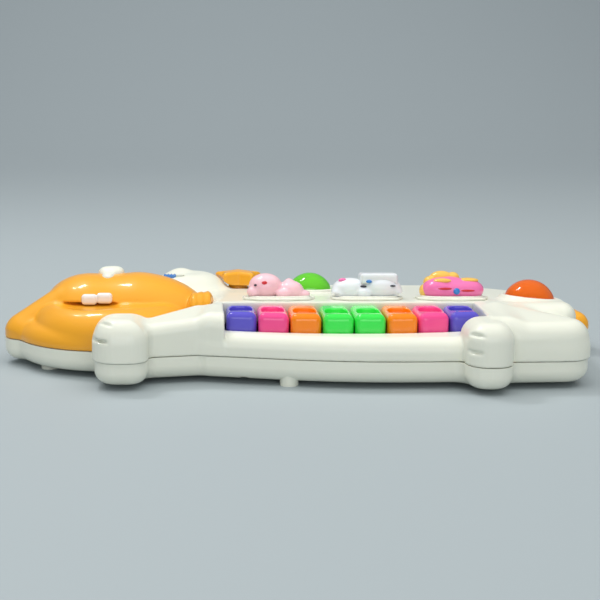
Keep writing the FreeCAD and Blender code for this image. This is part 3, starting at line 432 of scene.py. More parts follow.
def rounded_corners(points):
    """Outline points with every corner replaced by a sampled arc."""
    result = []
    for index, (x, y, radius) in enumerate(points):
        here = Vector((x, y))
        back = (Vector(points[index - 1][:2]) - here).normalized()
        ahead = (Vector(points[(index + 1) % len(points)][:2]) - here).normalized()
        half_angle = back.angle(ahead) / 2
        start = here + back * (radius / math.tan(half_angle))
        end = here + ahead * (radius / math.tan(half_angle))
        centre = here + (back + ahead).normalized() * (radius / math.sin(half_angle))
        first = start - centre
        turn = first.angle_signed(end - centre)
        for step in range(corner_steps + 1):
            angle = -turn * step / corner_steps
            cos, sin = math.cos(angle), math.sin(angle)
            point_x = centre.x + first.x * cos - first.y * sin
            point_y = centre.y + first.x * sin + first.y * cos
            result.append((point_x, point_y))
    return result


def outline_distance(points, x, y):
    """Signed distance to a closed outline in plan."""
    nearest = np.full(np.broadcast(x, y).shape, case_length ** 2, dtype=np.float32)
    inside = np.zeros(nearest.shape, dtype=bool)
    for (ax, ay), (bx, by) in zip(points, points[1:] + points[:1]):
        ex, ey = bx - ax, by - ay
        length = ex * ex + ey * ey
        if length == 0:
            continue
        along = np.clip(((x - ax) * ex + (y - ay) * ey) / length, 0, 1)
        nearest = np.minimum(nearest, (x - ax - ex * along) ** 2 + (y - ay - ey * along) ** 2)
        if ey != 0:
            between = (ay <= y) != (by <= y)
            inside ^= between & (x < ax + (y - ay) * ex / ey)
    reach = np.sqrt(nearest)
    return np.where(inside, -reach, reach)


def case_outline(shares):
    """Rounded outline from shares of the case's length and depth."""
    return rounded_corners([(x * case_length, y * case_depth, r * case_depth) for x, y, r in shares])


def deck_height(y):
    """Height of the sloping deck at a depth y."""
    return deck_front_height - deck_slope * (y - deck_front_y)


def deck_axes(place, y, z):
    """Depth along the deck and height over it, from a place on the deck."""
    dy = y - place[1]
    dz = z - deck_height(place[1])
    return dy * deck_cos - dz * deck_sin, dy * deck_sin + dz * deck_cos


def key_front_y(x):
    """Front of the bowed key row at a place along it."""
    return key_middle_front_y + key_bow_radius - math.sqrt(key_bow_radius ** 2 - (x - key_row_x) ** 2)


def key_x(index):
    """Middle of a key in the row."""
    return key_row_x + (index - (key_count - 1) / 2) * key_pitch


# Meshes from fields

def surface_net(values, low, step):
    """Points and quads of the zero surface of a sampled field."""
    solid = values < 0
    cells = np.zeros(tuple(n - 1 for n in values.shape), dtype=np.uint8)
    corners = [(i, j, k) for i in (0, 1) for j in (0, 1) for k in (0, 1)]
    nx, ny, nz = cells.shape
    for i, j, k in corners:
        cells += solid[i:i + nx, j:j + ny, k:k + nz]
    places = np.argwhere((cells > 0) & (cells < len(corners)))
    total = np.zeros((len(places), 3))
    count = np.zeros((len(places), 1))
    for start in corners:
        for axis in range(3):
            if start[axis] == 1:
                continue
            end = [c + (1 if a == axis else 0) for a, c in enumerate(start)]
            va = values[tuple((places + start).T)]
            vb = values[tuple((places + end).T)]
            crosses = (va < 0) != (vb < 0)
            share = np.where(crosses, va / np.where(crosses, va - vb, 1), 0)
            point = np.array(start, dtype=float) + np.outer(share, np.array(end) - np.array(start))
            total += np.where(crosses[:, None], point, 0)
            count += crosses[:, None]
    points = (places + total / count) * step + np.array(low)
    ids = np.full(cells.shape, -1, dtype=np.int64)
    ids[tuple(places.T)] = np.arange(len(places))
    quads = []
    for axis in range(3):
        quads.append(axis_quads(solid, ids, axis))
    return points, np.concatenate(quads)


def axis_quads(solid, ids, axis):
    """One quad round every grid edge along an axis that crosses the surface."""
    ahead = np.roll(solid, -1, axis)
    flips = np.argwhere(solid != ahead)
    limit = np.array(ids.shape)
    b, c = (axis + 1) % 3, (axis + 2) % 3
    fits = (flips[:, axis] < limit[axis]) & (flips[:, b] > 0) & (flips[:, c] > 0)
    fits &= (flips[:, b] < limit[b]) & (flips[:, c] < limit[c])
    flips = flips[fits]
    ring = []
    for db, dc in ((1, 1), (0, 1), (0, 0), (1, 0)):
        cell = flips.copy()
        cell[:, b] -= db
        cell[:, c] -= dc
        ring.append(ids[tuple(cell.T)])
    quads = np.stack(ring, axis=1)
    outward = solid[tuple(flips.T)]
    quads[~outward] = quads[~outward][:, ::-1]
    return quads


def field_mesh(name, low, high, step, field):
    """Smooth mesh object of a field inside a box."""
    axes = [np.arange(a - 2 * step, b + 3 * step, step, dtype=np.float32) for a, b in zip(low, high)]
    x = axes[0][:, None, None]
    y = axes[1][None, :, None]
    z = axes[2][None, None, :]
    shape = tuple(len(axis) for axis in axes)
    values = np.broadcast_to(field(x, y, z), shape).astype(np.float32)
    points, quads = surface_net(values, [axis[0] for axis in axes], step)
    return quad_mesh(name, points, quads)


def quad_mesh(name, points, quads):
    """Mesh object in metres from points in millimetres."""
    mesh = bpy.data.meshes.new(name)
    mesh.from_pydata((np.asarray(points) * MM).tolist(), [], np.asarray(quads).tolist())
    mesh.polygons.foreach_set("use_smooth", [True] * len(mesh.polygons))
    mesh.update()
    thing = bpy.data.objects.new(name, mesh)
    bpy.context.scene.collection.objects.link(thing)
    return thing


# Finishes

def new_material(name):
    """Material with its node tree and main shader."""
    material = bpy.data.materials.new(name)
    material.use_nodes = True
    return material, material.node_tree, material.node_tree.nodes["Principled BSDF"]


def noise(tree, scale, detail):
    """Noise over the object's own coordinates."""
    place = tree.nodes.new("ShaderNodeTexCoord")
    texture = tree.nodes.new("ShaderNodeTexNoise")
    texture.inputs["Scale"].default_value = scale
    texture.inputs["Detail"].default_value = detail
    tree.links.new(place.outputs["Object"], texture.inputs["Vector"])
    return texture


def moulded(name, colour, roughness, spread=plain_spread, grain=plain_grain, soft=0, coat=plain_coat):
    """Moulded plastic: faint cloudiness of colour and gloss, and a fine skin texture."""
    material, tree, shader = new_material(name)
    cloud = noise(tree, cloud_scale, cloud_detail)
    mix = tree.nodes.new("ShaderNodeMix")
    mix.data_type = "RGBA"
    mix.inputs["A"].default_value = (*[c * (1 - spread) for c in colour], 1)
    mix.inputs["B"].default_value = (*[min(c * (1 + spread), 1) for c in colour], 1)
    tree.links.new(cloud.outputs["Fac"], mix.inputs["Factor"])
    tree.links.new(mix.outputs["Result"], shader.inputs["Base Color"])
    gloss = tree.nodes.new("ShaderNodeMapRange")
    gloss.inputs["To Min"].default_value = roughness * (1 - cloud_gloss_share)
    gloss.inputs["To Max"].default_value = roughness * (1 + cloud_gloss_share)
    tree.links.new(cloud.outputs["Fac"], gloss.inputs["Value"])
    tree.links.new(gloss.outputs["Result"], shader.inputs["Roughness"])
    skin = noise(tree, skin_scale, skin_detail)
    bump = tree.nodes.new("ShaderNodeBump")
    bump.inputs["Strength"].default_value = grain
    bump.inputs["Distance"].default_value = skin_depth * MM
    tree.links.new(skin.outputs["Fac"], bump.inputs["Height"])
    tree.links.new(bump.outputs["Normal"], shader.inputs["Normal"])
    shader.inputs["Specular IOR Level"].default_value = plastic_specular
    shader.inputs["Coat Weight"].default_value = coat
    shader.inputs["Coat Roughness"].default_value = plastic_coat_roughness
    shader.inputs["Subsurface Weight"].default_value = soft
    shader.inputs["Subsurface Radius"].default_value = soft_radius_shares
    shader.inputs["Subsurface Scale"].default_value = soft_depth * MM
    return material


def clear_tint(name, colour, depth):
    """See-through tinted plastic with a faint inner haze."""
    material, tree, shader = new_material(name)
    haze = noise(tree, haze_scale, haze_detail)
    mix = tree.nodes.new("ShaderNodeMix")
    mix.data_type = "RGBA"
    mix.inputs["A"].default_value = (*colour, 1)
    mix.inputs["B"].default_value = (*[min(c * haze_lift, 1) for c in colour], 1)
    tree.links.new(haze.outputs["Fac"], mix.inputs["Factor"])
    tree.links.new(mix.outputs["Result"], shader.inputs["Base Color"])
    shader.inputs["Transmission Weight"].default_value = depth
    shader.inputs["Roughness"].default_value = clear_roughness
    shader.inputs["IOR"].default_value = clear_ior
    shader.inputs["Coat Weight"].default_value = clear_coat
    shader.inputs["Coat Roughness"].default_value = clear_coat_roughness
    return material


def metal(name, colour, roughness):
    """Plain metal with a faint brushed unevenness."""
    material, tree, shader = new_material(name)
    streak = noise(tree, streak_scale, streak_detail)
    gloss = tree.nodes.new("ShaderNodeMapRange")
    gloss.inputs["To Min"].default_value = roughness * (1 - streak_gloss_share)
    gloss.inputs["To Max"].default_value = roughness * (1 + streak_gloss_share)
    tree.links.new(streak.outputs["Fac"], gloss.inputs["Value"])
    tree.links.new(gloss.outputs["Result"], shader.inputs["Roughness"])
    shader.inputs["Base Color"].default_value = (*colour, 1)
    shader.inputs["Metallic"].default_value = 1
    return material


moulded_looks = {
    "white_abs": dict(
        colour=(0.80, 0.81, 0.70), roughness=0.38, spread=0.015, grain=0.012, soft=0.08, coat=0.3),
    "orange_abs": dict(colour=(0.90, 0.40, 0.02), roughness=0.36, spread=0.03, grain=0.012, soft=0.04),
    "blue_abs": dict(colour=(0.06, 0.24, 0.66), roughness=0.25),
    "pink_abs": dict(colour=(0.98, 0.60, 0.66), roughness=0.30, spread=0.03, grain=0.012, soft=0.06),
    "yellow_abs": dict(colour=(0.92, 0.55, 0.10), roughness=0.30),
    "key_purple": dict(colour=(0.11, 0.09, 0.58), roughness=0.20, spread=0.03, grain=0.012),
    "key_pink": dict(colour=(0.93, 0.075, 0.29), roughness=0.20, spread=0.03, grain=0.012),
    "key_orange": dict(colour=(0.98, 0.25, 0.003), roughness=0.22, spread=0.03, grain=0.012),
    "key_green": dict(colour=(0.045, 0.80, 0.085), roughness=0.20, spread=0.03, grain=0.012),
    "black_plastic": dict(colour=(0.015, 0.015, 0.015), roughness=0.5, spread=0.2, grain=0.05),
    "board_green": dict(colour=(0.03, 0.14, 0.05), roughness=0.4, spread=0.2, grain=0.05),
    "rubber_grey": dict(colour=(0.26, 0.26, 0.25), roughness=0.65, spread=0.1, grain=0.08, coat=0.0),
    "paper_black": dict(colour=(0.02, 0.018, 0.016), roughness=0.8, spread=0.2, grain=0.2, coat=0.0),
    "battery_skin": dict(colour=(0.56, 0.36, 0.07), roughness=0.3),
    "figure_white": dict(colour=(0.82, 0.85, 0.88), roughness=0.32, spread=0.015, grain=0.012, soft=0.08),
    "figure_magenta": dict(colour=(0.90, 0.19, 0.45), roughness=0.28),
    "paint_red": dict(colour=(0.62, 0.02, 0.03), roughness=0.35),
    "paint_dark": dict(colour=(0.03, 0.03, 0.05), roughness=0.35),
    "paint_blue": dict(colour=(0.03, 0.22, 0.62), roughness=0.35),
    "tooth_white": dict(colour=(0.90, 0.86, 0.84), roughness=0.28)}
clear_looks = {
    "green_clear": dict(colour=(0.13, 0.60, 0.025), depth=0.12),
    "orange_clear": dict(colour=(0.94, 0.15, 0.002), depth=0.25),
    "lamp_clear": dict(colour=(0.80, 0.76, 0.70), depth=0.8)}
metal_looks = {
    "steel": dict(colour=(0.62, 0.63, 0.65), roughness=0.3),
    "steel_dark": dict(colour=(0.12, 0.12, 0.13), roughness=0.45)}
finishes = {name: moulded(name, **look) for name, look in moulded_looks.items()}
finishes.update({name: clear_tint(name, **look) for name, look in clear_looks.items()})
finishes.update({name: metal(name, **look) for name, look in metal_looks.items()})
slot_of = {entry["node"]: entry["material_slot"] for entry in frame["record"]["subparts"]}


def finish_with(thing, name):
    """Give a piece one finish."""
    thing.data.materials.clear()
    thing.data.materials.append(finishes[name])


def piece(thing, body, finish, slot, *nodes):
    """Finish a piece, let it ride on a body and stand for CAD nodes."""
    finish_with(thing, finish)
    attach(thing, body)
    if nodes:
        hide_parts(*nodes)
    return thing


# White cover

def toe_ring(x, y, z, shares, height):
    """Part of a round ring that scores a toe into the left front corner of a paw."""
    corner_radius = shares[0][2] * case_depth
    corner = (shares[0][0] * case_length + corner_radius, shares[0][1] * case_depth + corner_radius)
    over = max(height - paw_height + paw_edge_radius, 0)
    inset = paw_edge_radius - math.sqrt(paw_edge_radius ** 2 - over ** 2)
    away = corner_radius - inset - toe_depth + toe_radius + toe_sweep
    turn = math.radians(toe_turn_deg)
    reach = np.hypot(x - corner[0] + away * math.cos(turn), y - corner[1] + away * math.sin(turn))
    ring = np.hypot(reach - toe_sweep, z - height) - toe_radius
    return np.maximum(ring, disc(x, y, (corner[0] - corner_radius, corner[1] - corner_radius), toe_reach))


def key_space(x, y):
    """Plan of the space over the keys and in front of them."""
    return np.maximum(slab(x, well_left, well_right), y - deck_front_y)


def key_opening(x, y):
    """Plan of the opening that the keys stand in."""
    bow = disc(x, y, (key_row_x, key_middle_front_y + key_bow_radius), key_bow_radius + well_gap)
    return np.maximum(key_space(x, y), bow)


def rump_space(x, y):
    """Plan of the corner in front of the rump, which the haunch fills."""
    return np.maximum(rump_front_x - x, y - rump_front_y)


def rod_form(x, y, z, start, end, radius):
    """Round-ended rod between two points."""
    run = [b - a for a, b in zip(start, end)]
    length = sum(r * r for r in run)
    along = ((x - start[0]) * run[0] + (y - start[1]) * run[1] + (z - start[2]) * run[2]) / length
    along = np.clip(along, 0, 1)
    gaps = [v - a - r * along for v, a, r in zip((x, y, z), start, run)]
    return np.sqrt(gaps[0] ** 2 + gaps[1] ** 2 + gaps[2] ** 2) - radius


def arm_form(x, y, z, arm):
    """Front leg: tall paw at the end and the lower sloping leg behind it."""
    paw_end = (arm_outline_shares[1][0] + arm_outline_shares[0][0]) / 2 * case_length
    paw_end += arm_paw_length_share * case_length / 2
    paw = lidded(np.maximum(arm, x - paw_end + paw_edge_radius / 2), z - paw_height, paw_edge_radius)
    x0, y0, z0 = arm_top_place
    leg_top = z0 + arm_top_slopes[0] * (x - x0) + arm_top_slopes[1] * (y - y0)
    return smooth_union(lidded(arm, z - leg_top, arm_edge_radius), paw, arm_blend)


def haunch_top(x, y, z):
    """Height over the haunch's top, which rises to the back and falls away beyond a diagonal."""
    x0, y0, z0 = haunch_top_place
    fall = math.radians(haunch_fall_deg)
    turn = math.radians(haunch_fall_turn_deg)
    beyond = (x - x0) * math.cos(turn) + (y - y0) * math.sin(turn)
    over = z - z0 - haunch_back_rise * (y - y0)
    return smooth_common(over, beyond * math.sin(fall) + (z - z0) * math.cos(fall), haunch_top_blend)


def white_outer(x, y, z):
    """Outer form of the white cover."""
    body = outline_distance(case_outline(body_outline_shares), x, y)
    arm = outline_distance(case_outline(arm_outline_shares), x, y)
    paw = outline_distance(case_outline(hind_paw_outline_shares), x, y)
    haunch = outline_distance(case_outline(haunch_outline_shares), x, y)
    over_deck = (z - deck_height(np.maximum(y, deck_front_y))) * deck_cos
    deck = lidded(body, over_deck, deck_edge_radius)
    deck = smooth_cut(deck, rump_space(x, y), rump_front_round)
    deck = smooth_cut(deck, key_space(x, y), well_lip)
    form = smooth_union(deck, lidded(body, z - ledge_height, ledge_edge_radius), well_lip)
    form = smooth_union(form, arm_form(x, y, z, arm), arm_blend)
    form = smooth_union(form, lidded(haunch, haunch_top(x, y, z), haunch_edge_radius), haunch_blend)
    form = smooth_union(form, lidded(paw, z - paw_height, paw_edge_radius), paw_blend)
    shoulder = lidded(disc(x, y, shoulder_place, shoulder_radius), z - shoulder_height, shoulder_edge_radius)
    shoulder = smooth_union(shoulder, ball(x, y, z, hump_place, hump_radius), hump_blend)
    form = smooth_union(form, np.maximum(shoulder, body), shoulder_blend)
    for height in arm_toe_heights:
        form = smooth_cut(form, toe_ring(x, y, z, arm_outline_shares, height), toe_blend)
    for height in hind_toe_heights:
        form = smooth_cut(form, toe_ring(x, y, z, hind_paw_outline_shares, height), toe_blend)
    return np.maximum(form, slab(y, -case_depth / 2, case_depth / 2))


def raised_rings(x, y, z, form):
    """Add the collar of the green dome, the seat of the light and the switch boss."""
    v, w = deck_axes(dome_place, y, z)
    collar_side = np.hypot(x - dome_place[0], v) - dome_radius - collar_width
    collar = lidded(collar_side, w - collar_height, lip_radius)
    form = smooth_union(form, np.maximum(collar, -w - wall), lip_radius)
    u, v, w = lens_axes(x, y, z)
    seat = lidded(np.hypot(u, v) - lens_radius - lens_seat_width, w - lens_seat_height, lip_radius)
    form = smooth_union(form, np.maximum(seat, -w - 2 * wall), seat_blend)
    boss = lidded(disc(x, y, switch_place, switch_boss_radius), z - switch_boss_top, 2 * lip_radius)
    form = smooth_union(form, np.maximum(boss, switch_boss_base - z), lip_radius)
    recess = np.maximum(np.abs(x - switch_place[0]) - switch_recess[0] / 2,
                        np.abs(y - switch_place[1]) - switch_recess[1] / 2)
    return smooth_cut(form, np.maximum(recess, switch_boss_top - z), lip_radius)


def lens_axes(x, y, z):
    """Axes square to the tipped rump light."""
    v, w = deck_axes(lens_place, y, z)
    u = x - lens_place[0]
    along = u * math.cos(lens_tilt) - w * math.sin(lens_tilt)
    over = u * math.sin(lens_tilt) + w * math.cos(lens_tilt)
    return along, v, over


def button_holes(x, y, z, form):
    """Cut the openings of every button, the light, the switch and the key levers."""
    for centre_x in (pink_x, white_x, yellow_x):
        v, _ = deck_axes((centre_x, figure_y), y, z)
        hole = stadium(x - centre_x, v, puck_length + 2 * hole_gap, puck_width + 2 * hole_gap)
        form = smooth_cut(form, hole, lip_radius)
    for place, radius in ((dome_place, dome_radius), (star_place, star_neck_radius)):
        v, _ = deck_axes(place, y, z)
        form = smooth_cut(form, np.hypot(x - place[0], v) - radius - hole_gap, lip_radius)
    u, v, _ = lens_axes(x, y, z)
    form = smooth_cut(form, np.hypot(u, v) - lens_radius - hole_gap, lip_radius)
    slot_space = np.maximum(np.abs(x - switch_place[0]) - switch_slot_length / 2,
                            np.abs(y - switch_place[1]) - switch_slot_width / 2)
    form = np.maximum(form, -slot_space)
    for index in range(key_count):
        notch = np.maximum(np.abs(x - key_x(index)) - key_lever_width / 2 - well_gap,
                           np.abs(y - deck_front_y) - 3 * wall)
        notch = np.maximum(notch, z - rod_z - key_lever_height / 2 - well_gap)
        form = np.maximum(form, -notch)
    return form


def white_field(x, y, z):
    """White cover as a thin shell with all its openings."""
    outer = white_outer(x, y, z)
    shell = np.maximum(outer, -outer - wall)
    shell = raised_rings(x, y, z, shell)
    shell = smooth_cut(shell, key_opening(x, y), well_lip)
    shell = button_holes(x, y, z, shell)
    return smooth_common(shell, seam_height + seam_gap - z, seam_lip)


def build_white_cover():
    """White cover in place of its CAD node."""
    low, high = node_box("upper_shell")
    cover = field_mesh("white_cover", low, high, skin_step, white_field)
    return piece(cover, "case", "white_abs", "white_abs", "upper_shell")


def node_box(name):
    """Box of a CAD node in millimetres."""
    low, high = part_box(name)
    return [v / MM for v in low], [v / MM for v in high]


# Head

def head_plan(x, y):
    """Plan of the head with cheeks, tuft and ears, and the webs beside the ears."""
    plan = disc(x, y, head_place, head_radius)
    rounds = [(cheek_place, cheek_radius), (right_cheek_place, cheek_radius), (tuft_place, tuft_base_radius)]
    for place, radius in rounds:
        plan = smooth_union(plan, disc(x, y, place, radius), head_plan_blend)
    right_ear = disc(x, y, right_ear_place, ear_radius)
    ears = smooth_union(disc(x, y, left_ear_place, ear_radius), right_ear, ear_web_blend)
    body = outline_distance(case_outline(body_outline_shares), x, y)
    web = np.maximum(smooth_union(right_ear, body, ear_web_blend), right_ear - ear_web_reach)
    return np.minimum(smooth_union(plan, ears, head_plan_blend), web)


def head_outer(x, y, z):
    """Outer form of the face: rim, cheeks, chin, muzzle and tuft."""
    plan = head_plan(x, y)
    form = lidded(plan, z - head_rim_height, head_rim_radius)
    form = smooth_union(form, ball(x, y, z, forehead_place, forehead_radius), face_blend)
    cheek = rod_form(x, y, z, left_cheek_start, left_cheek_end, left_cheek_radius)
    form = smooth_union(form, cheek, face_blend)
    chin = lidded(disc(x, y, chin_place, chin_radius), z - chin_height, chin_edge_radius)
    form = smooth_union(form, chin, cheek_blend)
    muzzle = oval(x, y, z, *muzzle_ovals[0])
    for lobe in muzzle_ovals[1:]:
        muzzle = smooth_union(muzzle, oval(x, y, z, *lobe), muzzle_blend)
    form = smooth_union(form, muzzle, face_blend / 2)
    for index in range(tuft_count):
        centre = (tuft_start[0] + index * tuft_pitch, tuft_start[1] + index * tuft_pitch / 2, tuft_start[2])
        form = smooth_union(form, oval(x, y, z, centre, tuft_size), tuft_blend)
    form = smooth_cut(form, oval(x, y, z, mouth_place, mouth_size), lip_radius)
    return np.maximum(form, plan)


def head_field(x, y, z):
    """Face cover as a thin shell beside the white cover."""
    outer = head_outer(x, y, z)
    shell = np.maximum(outer, -outer - head_wall)
    for side in (-1, 1):
        eye = disc(x, y, (head_place[0] + side * eye_spread, eye_y), eye_hole_radius)
        shell = np.maximum(shell, -eye)
    shell = smooth_cut(shell, white_outer(x, y, z) - cover_gap, lip_radius)
    return smooth_common(shell, seam_height + seam_gap - z, seam_lip)


def build_head():
    """Face cover in place of its CAD node."""
    low, high = node_box("head_cover")
    cover = field_mesh("face_cover", low, high, head_step, head_field)
    return piece(cover, "case", "orange_abs", "orange_abs", "head_cover")


# Keys

def key_field(index):
    """Field of one key with pocket, hollow, lever, hub and plunger."""
    middle = key_x(index)
    half = (key_pitch - key_gap) / 2
    fronts = [key_front_y(middle - half), key_front_y(middle + half)]
    outline = rounded_corners([
        (middle - half, fronts[0], key_corner_radius), (middle + half, fronts[1], key_corner_radius),
        (middle + half, key_back_y, key_corner_radius), (middle - half, key_back_y, key_corner_radius)])
    pocket_half = half - key_pocket_margin
    pocket_front = max(fronts) + key_pocket_setback
    pocket_back = min(pocket_front + key_pocket_length, key_back_y - key_pocket_rim)
    pocket_outline = rounded_corners([
        (middle - pocket_half, pocket_front, key_pocket_front_corner),
        (middle + pocket_half, pocket_front, key_pocket_front_corner),
        (middle + pocket_half, pocket_back, key_pocket_corner),
        (middle - pocket_half, pocket_back, key_pocket_corner)])

    def field(x, y, z):
        plan = outline_distance(outline, x, y)
        cap = np.maximum(lidded(plan, z - key_top, key_edge_radius), key_bottom - z)
        floor = key_top - key_pocket_depth * np.clip((y - pocket_front) / (pocket_back - pocket_front), 0, 1)
        pocket = np.maximum(outline_distance(pocket_outline, x, y), floor - z)
        cap = smooth_cut(cap, pocket, key_pocket_blend)
        hollow = np.maximum(plan + key_wall, z - key_top + key_pocket_depth + key_wall)
        cap = np.maximum(cap, -hollow)
        lever = np.maximum(np.abs(x - middle) - key_lever_width / 2, slab(y, key_back_y - key_wall, rod_y))
        lever = np.maximum(lever, np.abs(z - rod_z) - key_lever_height / 2)
        axle = np.hypot(y - rod_y, z - rod_z)
        hub = np.maximum(axle - key_hub_radius, np.abs(x - middle) - key_hub_width / 2)
        plunger = np.maximum(disc(x, y, (middle, key_plunger_y), key_plunger_radius),
                             slab(z, key_plunger_bottom, key_top - 2 * key_wall))
        whole = np.minimum(np.minimum(cap, plunger), np.minimum(lever, hub))
        return np.maximum(whole, rod_hole_radius - axle)

    return field


def build_keys():
    """All keys in place of their CAD nodes."""
    for index in range(key_count):
        node = "key_%d" % (index + 1)
        low, high = node_box(node)
        cap = field_mesh("keycap_%d" % (index + 1), low, high, fine_step, key_field(index))
        piece(cap, node + "_body", slot_of[node], slot_of[node], node)


# Push buttons

def lumps_field(place, lumps, blend):
    """Field of rounded lumps blended together, standing on the deck."""
    def field(x, y, z):
        v, w = deck_axes(place, y, z)
        form = None
        for centre, size in lumps:
            lump = oval(x - place[0], v, w, centre, size)
            form = lump if form is None else smooth_union(form, lump, blend)
        hole = stadium(x - place[0], v, puck_length, puck_width)
        over_plate = plate_thickness + button_travel + press_gap - w
        form = np.maximum(form, np.minimum(hole, over_plate))
        return np.maximum(form, puck_rise / 2 - w)
    return field


def puck_field(place):
    """Field of a button's oval puck with its retaining flange."""
    def field(x, y, z):
        v, w = deck_axes(place, y, z)
        u = x - place[0]
        puck = np.maximum(lidded(stadium(u, v, puck_length, puck_width), w - puck_rise, puck_edge_radius),
                          -w - puck_depth)
        flange = np.maximum(stadium(u, v, puck_length + 2 * wall, puck_width + 2 * wall),
                            slab(w, -puck_depth, -puck_depth + puck_flange))
        return np.minimum(puck, flange)
    return field


def plate_field(place):
    """Field of the scalloped plate round a figure button."""
    def field(x, y, z):
        v, w = deck_axes(place, y, z)
        u = x - place[0]
        angle = np.arctan2(v * plate_length, u * plate_width)
        wave = plate_scallop * np.cos(plate_scallop_count * angle)
        side = stadium(u, v, plate_length, plate_width) - wave
        ring = lidded(side, w - plate_thickness, plate_edge_radius)
        hole = stadium(u, v, puck_length + 2 * hole_gap, puck_width + 2 * hole_gap)
        return np.maximum(smooth_cut(ring, hole, plate_edge_radius), hole_gap / 4 - w)
    return field


def around(place, reach, low, high):
    """Box round a place on the deck."""
    height = deck_height(place[1])
    near = (place[0] - reach, place[1] - reach, height + low)
    far = (place[0] + reach, place[1] + reach, height + high)
    return near, far


def add_lumps(name, place, lumps, finish, body, slot, blend):
    """Piece made of rounded lumps on one button."""
    low, high = around(place, plate_length / 2, -wall, plate_length / 2)
    thing = field_mesh(name, low, high, fine_step, lumps_field(place, lumps, blend))
    return piece(thing, body, finish, slot)


def build_button(colour, place):
    """Puck and plate of one figure button in place of their CAD nodes."""
    low, high = around(place, plate_length / 2 + plate_scallop, -3 * puck_depth, 2 * puck_depth)
    puck = field_mesh("puck_" + colour, low, high, fine_step, puck_field(place))
    piece(puck, "button_%s_body" % colour, "white_abs", "white_abs", "button_" + colour)
    plate = field_mesh("rim_" + colour, low, high, fine_step, plate_field(place))
    piece(plate, "case", "white_abs", "white_abs", "plate_" + colour)


def white_cap_field(x, y, z):
    """Block cap of the white figure."""
    v, w = deck_axes((white_x, figure_y), y, z)
    x0, y0, z0 = white_cap_place
    return round_box(x - white_x - x0, v - y0, w - z0, white_cap_half, white_cap_radius)


def build_figures():
    """Three generic animal figures on their buttons."""
    pink, white, yellow = [(x, figure_y) for x in (pink_x, white_x, yellow_x)]
    for colour, place in (("pink", pink), ("white", white), ("yellow", yellow)):
        build_button(colour, place)
    body = "button_pink_body"
    add_lumps("pink_figure", pink, pink_lumps, "pink_abs", body, "pink_abs", figure_blend)
    add_lumps("pink_eye", pink, pink_eyes, "paint_dark", body, "black_plastic", paint_blend)
    add_lumps("pink_cheek", pink, pink_cheeks, "paint_red", body, "key_pink", paint_blend)
    body = "button_white_body"
    add_lumps("white_figure", white, white_lumps, "figure_white", body, "white_abs", figure_blend)
    low, high = around(white, plate_length / 2, -wall, plate_length / 2)
    cap = field_mesh("white_cap", low, high, fine_step, white_cap_field)
    piece(cap, body, "figure_white", "white_abs")
    add_lumps("white_lids", white, white_lids, "paint_dark", body, "black_plastic", paint_blend)
    add_lumps("white_bow", white, white_bows, "figure_magenta", body, "key_pink", paint_blend)
    add_lumps("white_stud", white, white_studs, "paint_blue", body, "blue_abs", paint_blend)
    body = "button_yellow_body"
    add_lumps("yellow_figure", yellow, yellow_lumps, "figure_magenta", body, "key_pink", figure_blend)
    add_lumps("yellow_crest", yellow, yellow_crests, "yellow_abs", body, "yellow_abs", paint_blend)
    add_lumps("yellow_cord", yellow, yellow_cords, "paint_red", body, "key_pink", paint_blend)
    add_lumps("yellow_bead", yellow, yellow_beads, "paint_blue", body, "blue_abs", paint_blend)


def cap_shell(side, w, radius, rise, base, sheet):
    """Hollow round cap: distance from the axis, height, and the cap's sizes."""
    ball_radius = (radius ** 2 + rise ** 2) / (2 * rise)
    ball = np.hypot(side, w - base - rise + ball_radius) - ball_radius
    outer = smooth_common(side - radius, ball, sheet)
    shell = np.maximum(outer, -outer - sheet)
    return np.maximum(shell, -w - wall)


def dome_field(x, y, z):
    """Green dome button."""
    v, w = deck_axes(dome_place, y, z)
    return cap_shell(np.hypot(x - dome_place[0], v), w, dome_radius, dome_rise, collar_height, dome_wall)


def lens_field(x, y, z):
    """Orange light dome."""
    u, v, w = lens_axes(x, y, z)
    return cap_shell(np.hypot(u, v), w, lens_radius, lens_rise, lens_seat_height, lens_wall)


def star_field(x, y, z):
    """Star-shaped button on its round neck."""
    v, w = deck_axes(star_place, y, z)
    u = x - star_place[0]
    tips = []
    for step in range(2 * star_points):
        reach = star_radius if step % 2 == 0 else star_radius * star_inner_share
        angle = math.pi / 2 + step * math.pi / star_points
        tips.append((reach * math.cos(angle), reach * math.sin(angle), star_edge_radius))
    star = outline_distance(rounded_corners(tips), u, v)
    reach = np.hypot(u, v)
    top = star_peak_height - (star_peak_height - star_tip_height) * np.minimum(reach / star_radius, 1)
    head = np.maximum(lidded(star, w - top, star_edge_radius), star_bottom - w)
    cover_when_pressed = white_outer(x, y - button_travel * deck_sin, z - button_travel * deck_cos)
    head = smooth_cut(head, cover_when_pressed - press_gap, press_gap)
    neck = np.maximum(reach - star_neck_radius, slab(w, -wall, star_tip_height))
    return smooth_union(head, neck, lip_radius)


def build_domes():
    """Clear domes and the star in place of their CAD nodes."""
    low, high = node_box("dome_green")
    dome = field_mesh("dome_green_look", low, high, fine_step, dome_field)
    piece(dome, "dome_green_body", slot_of["dome_green"], slot_of["dome_green"], "dome_green")
    star_reach = star_radius + star_edge_radius
    low, high = around(star_place, star_reach, -2 * wall, star_peak_height + star_edge_radius)
    star = field_mesh("star_button_look", low, high, fine_step, star_field)
    piece(star, "star_button_body", slot_of["star_button"], slot_of["star_button"], "star_button")
    low, high = node_box("lens_orange")
    lens = field_mesh("lens_look", low, high, fine_step, lens_field)
    piece(lens, "case", "orange_clear", "orange_clear", "lens_orange")


# Face pieces

def nose_field(x, y, z):
    """Rounded triangular nose."""
    form = None
    for centre, size in nose_lumps:
        lump = oval(x, y, z, centre, size)
        form = lump if form is None else smooth_union(form, lump, 2 * figure_blend)
    return form


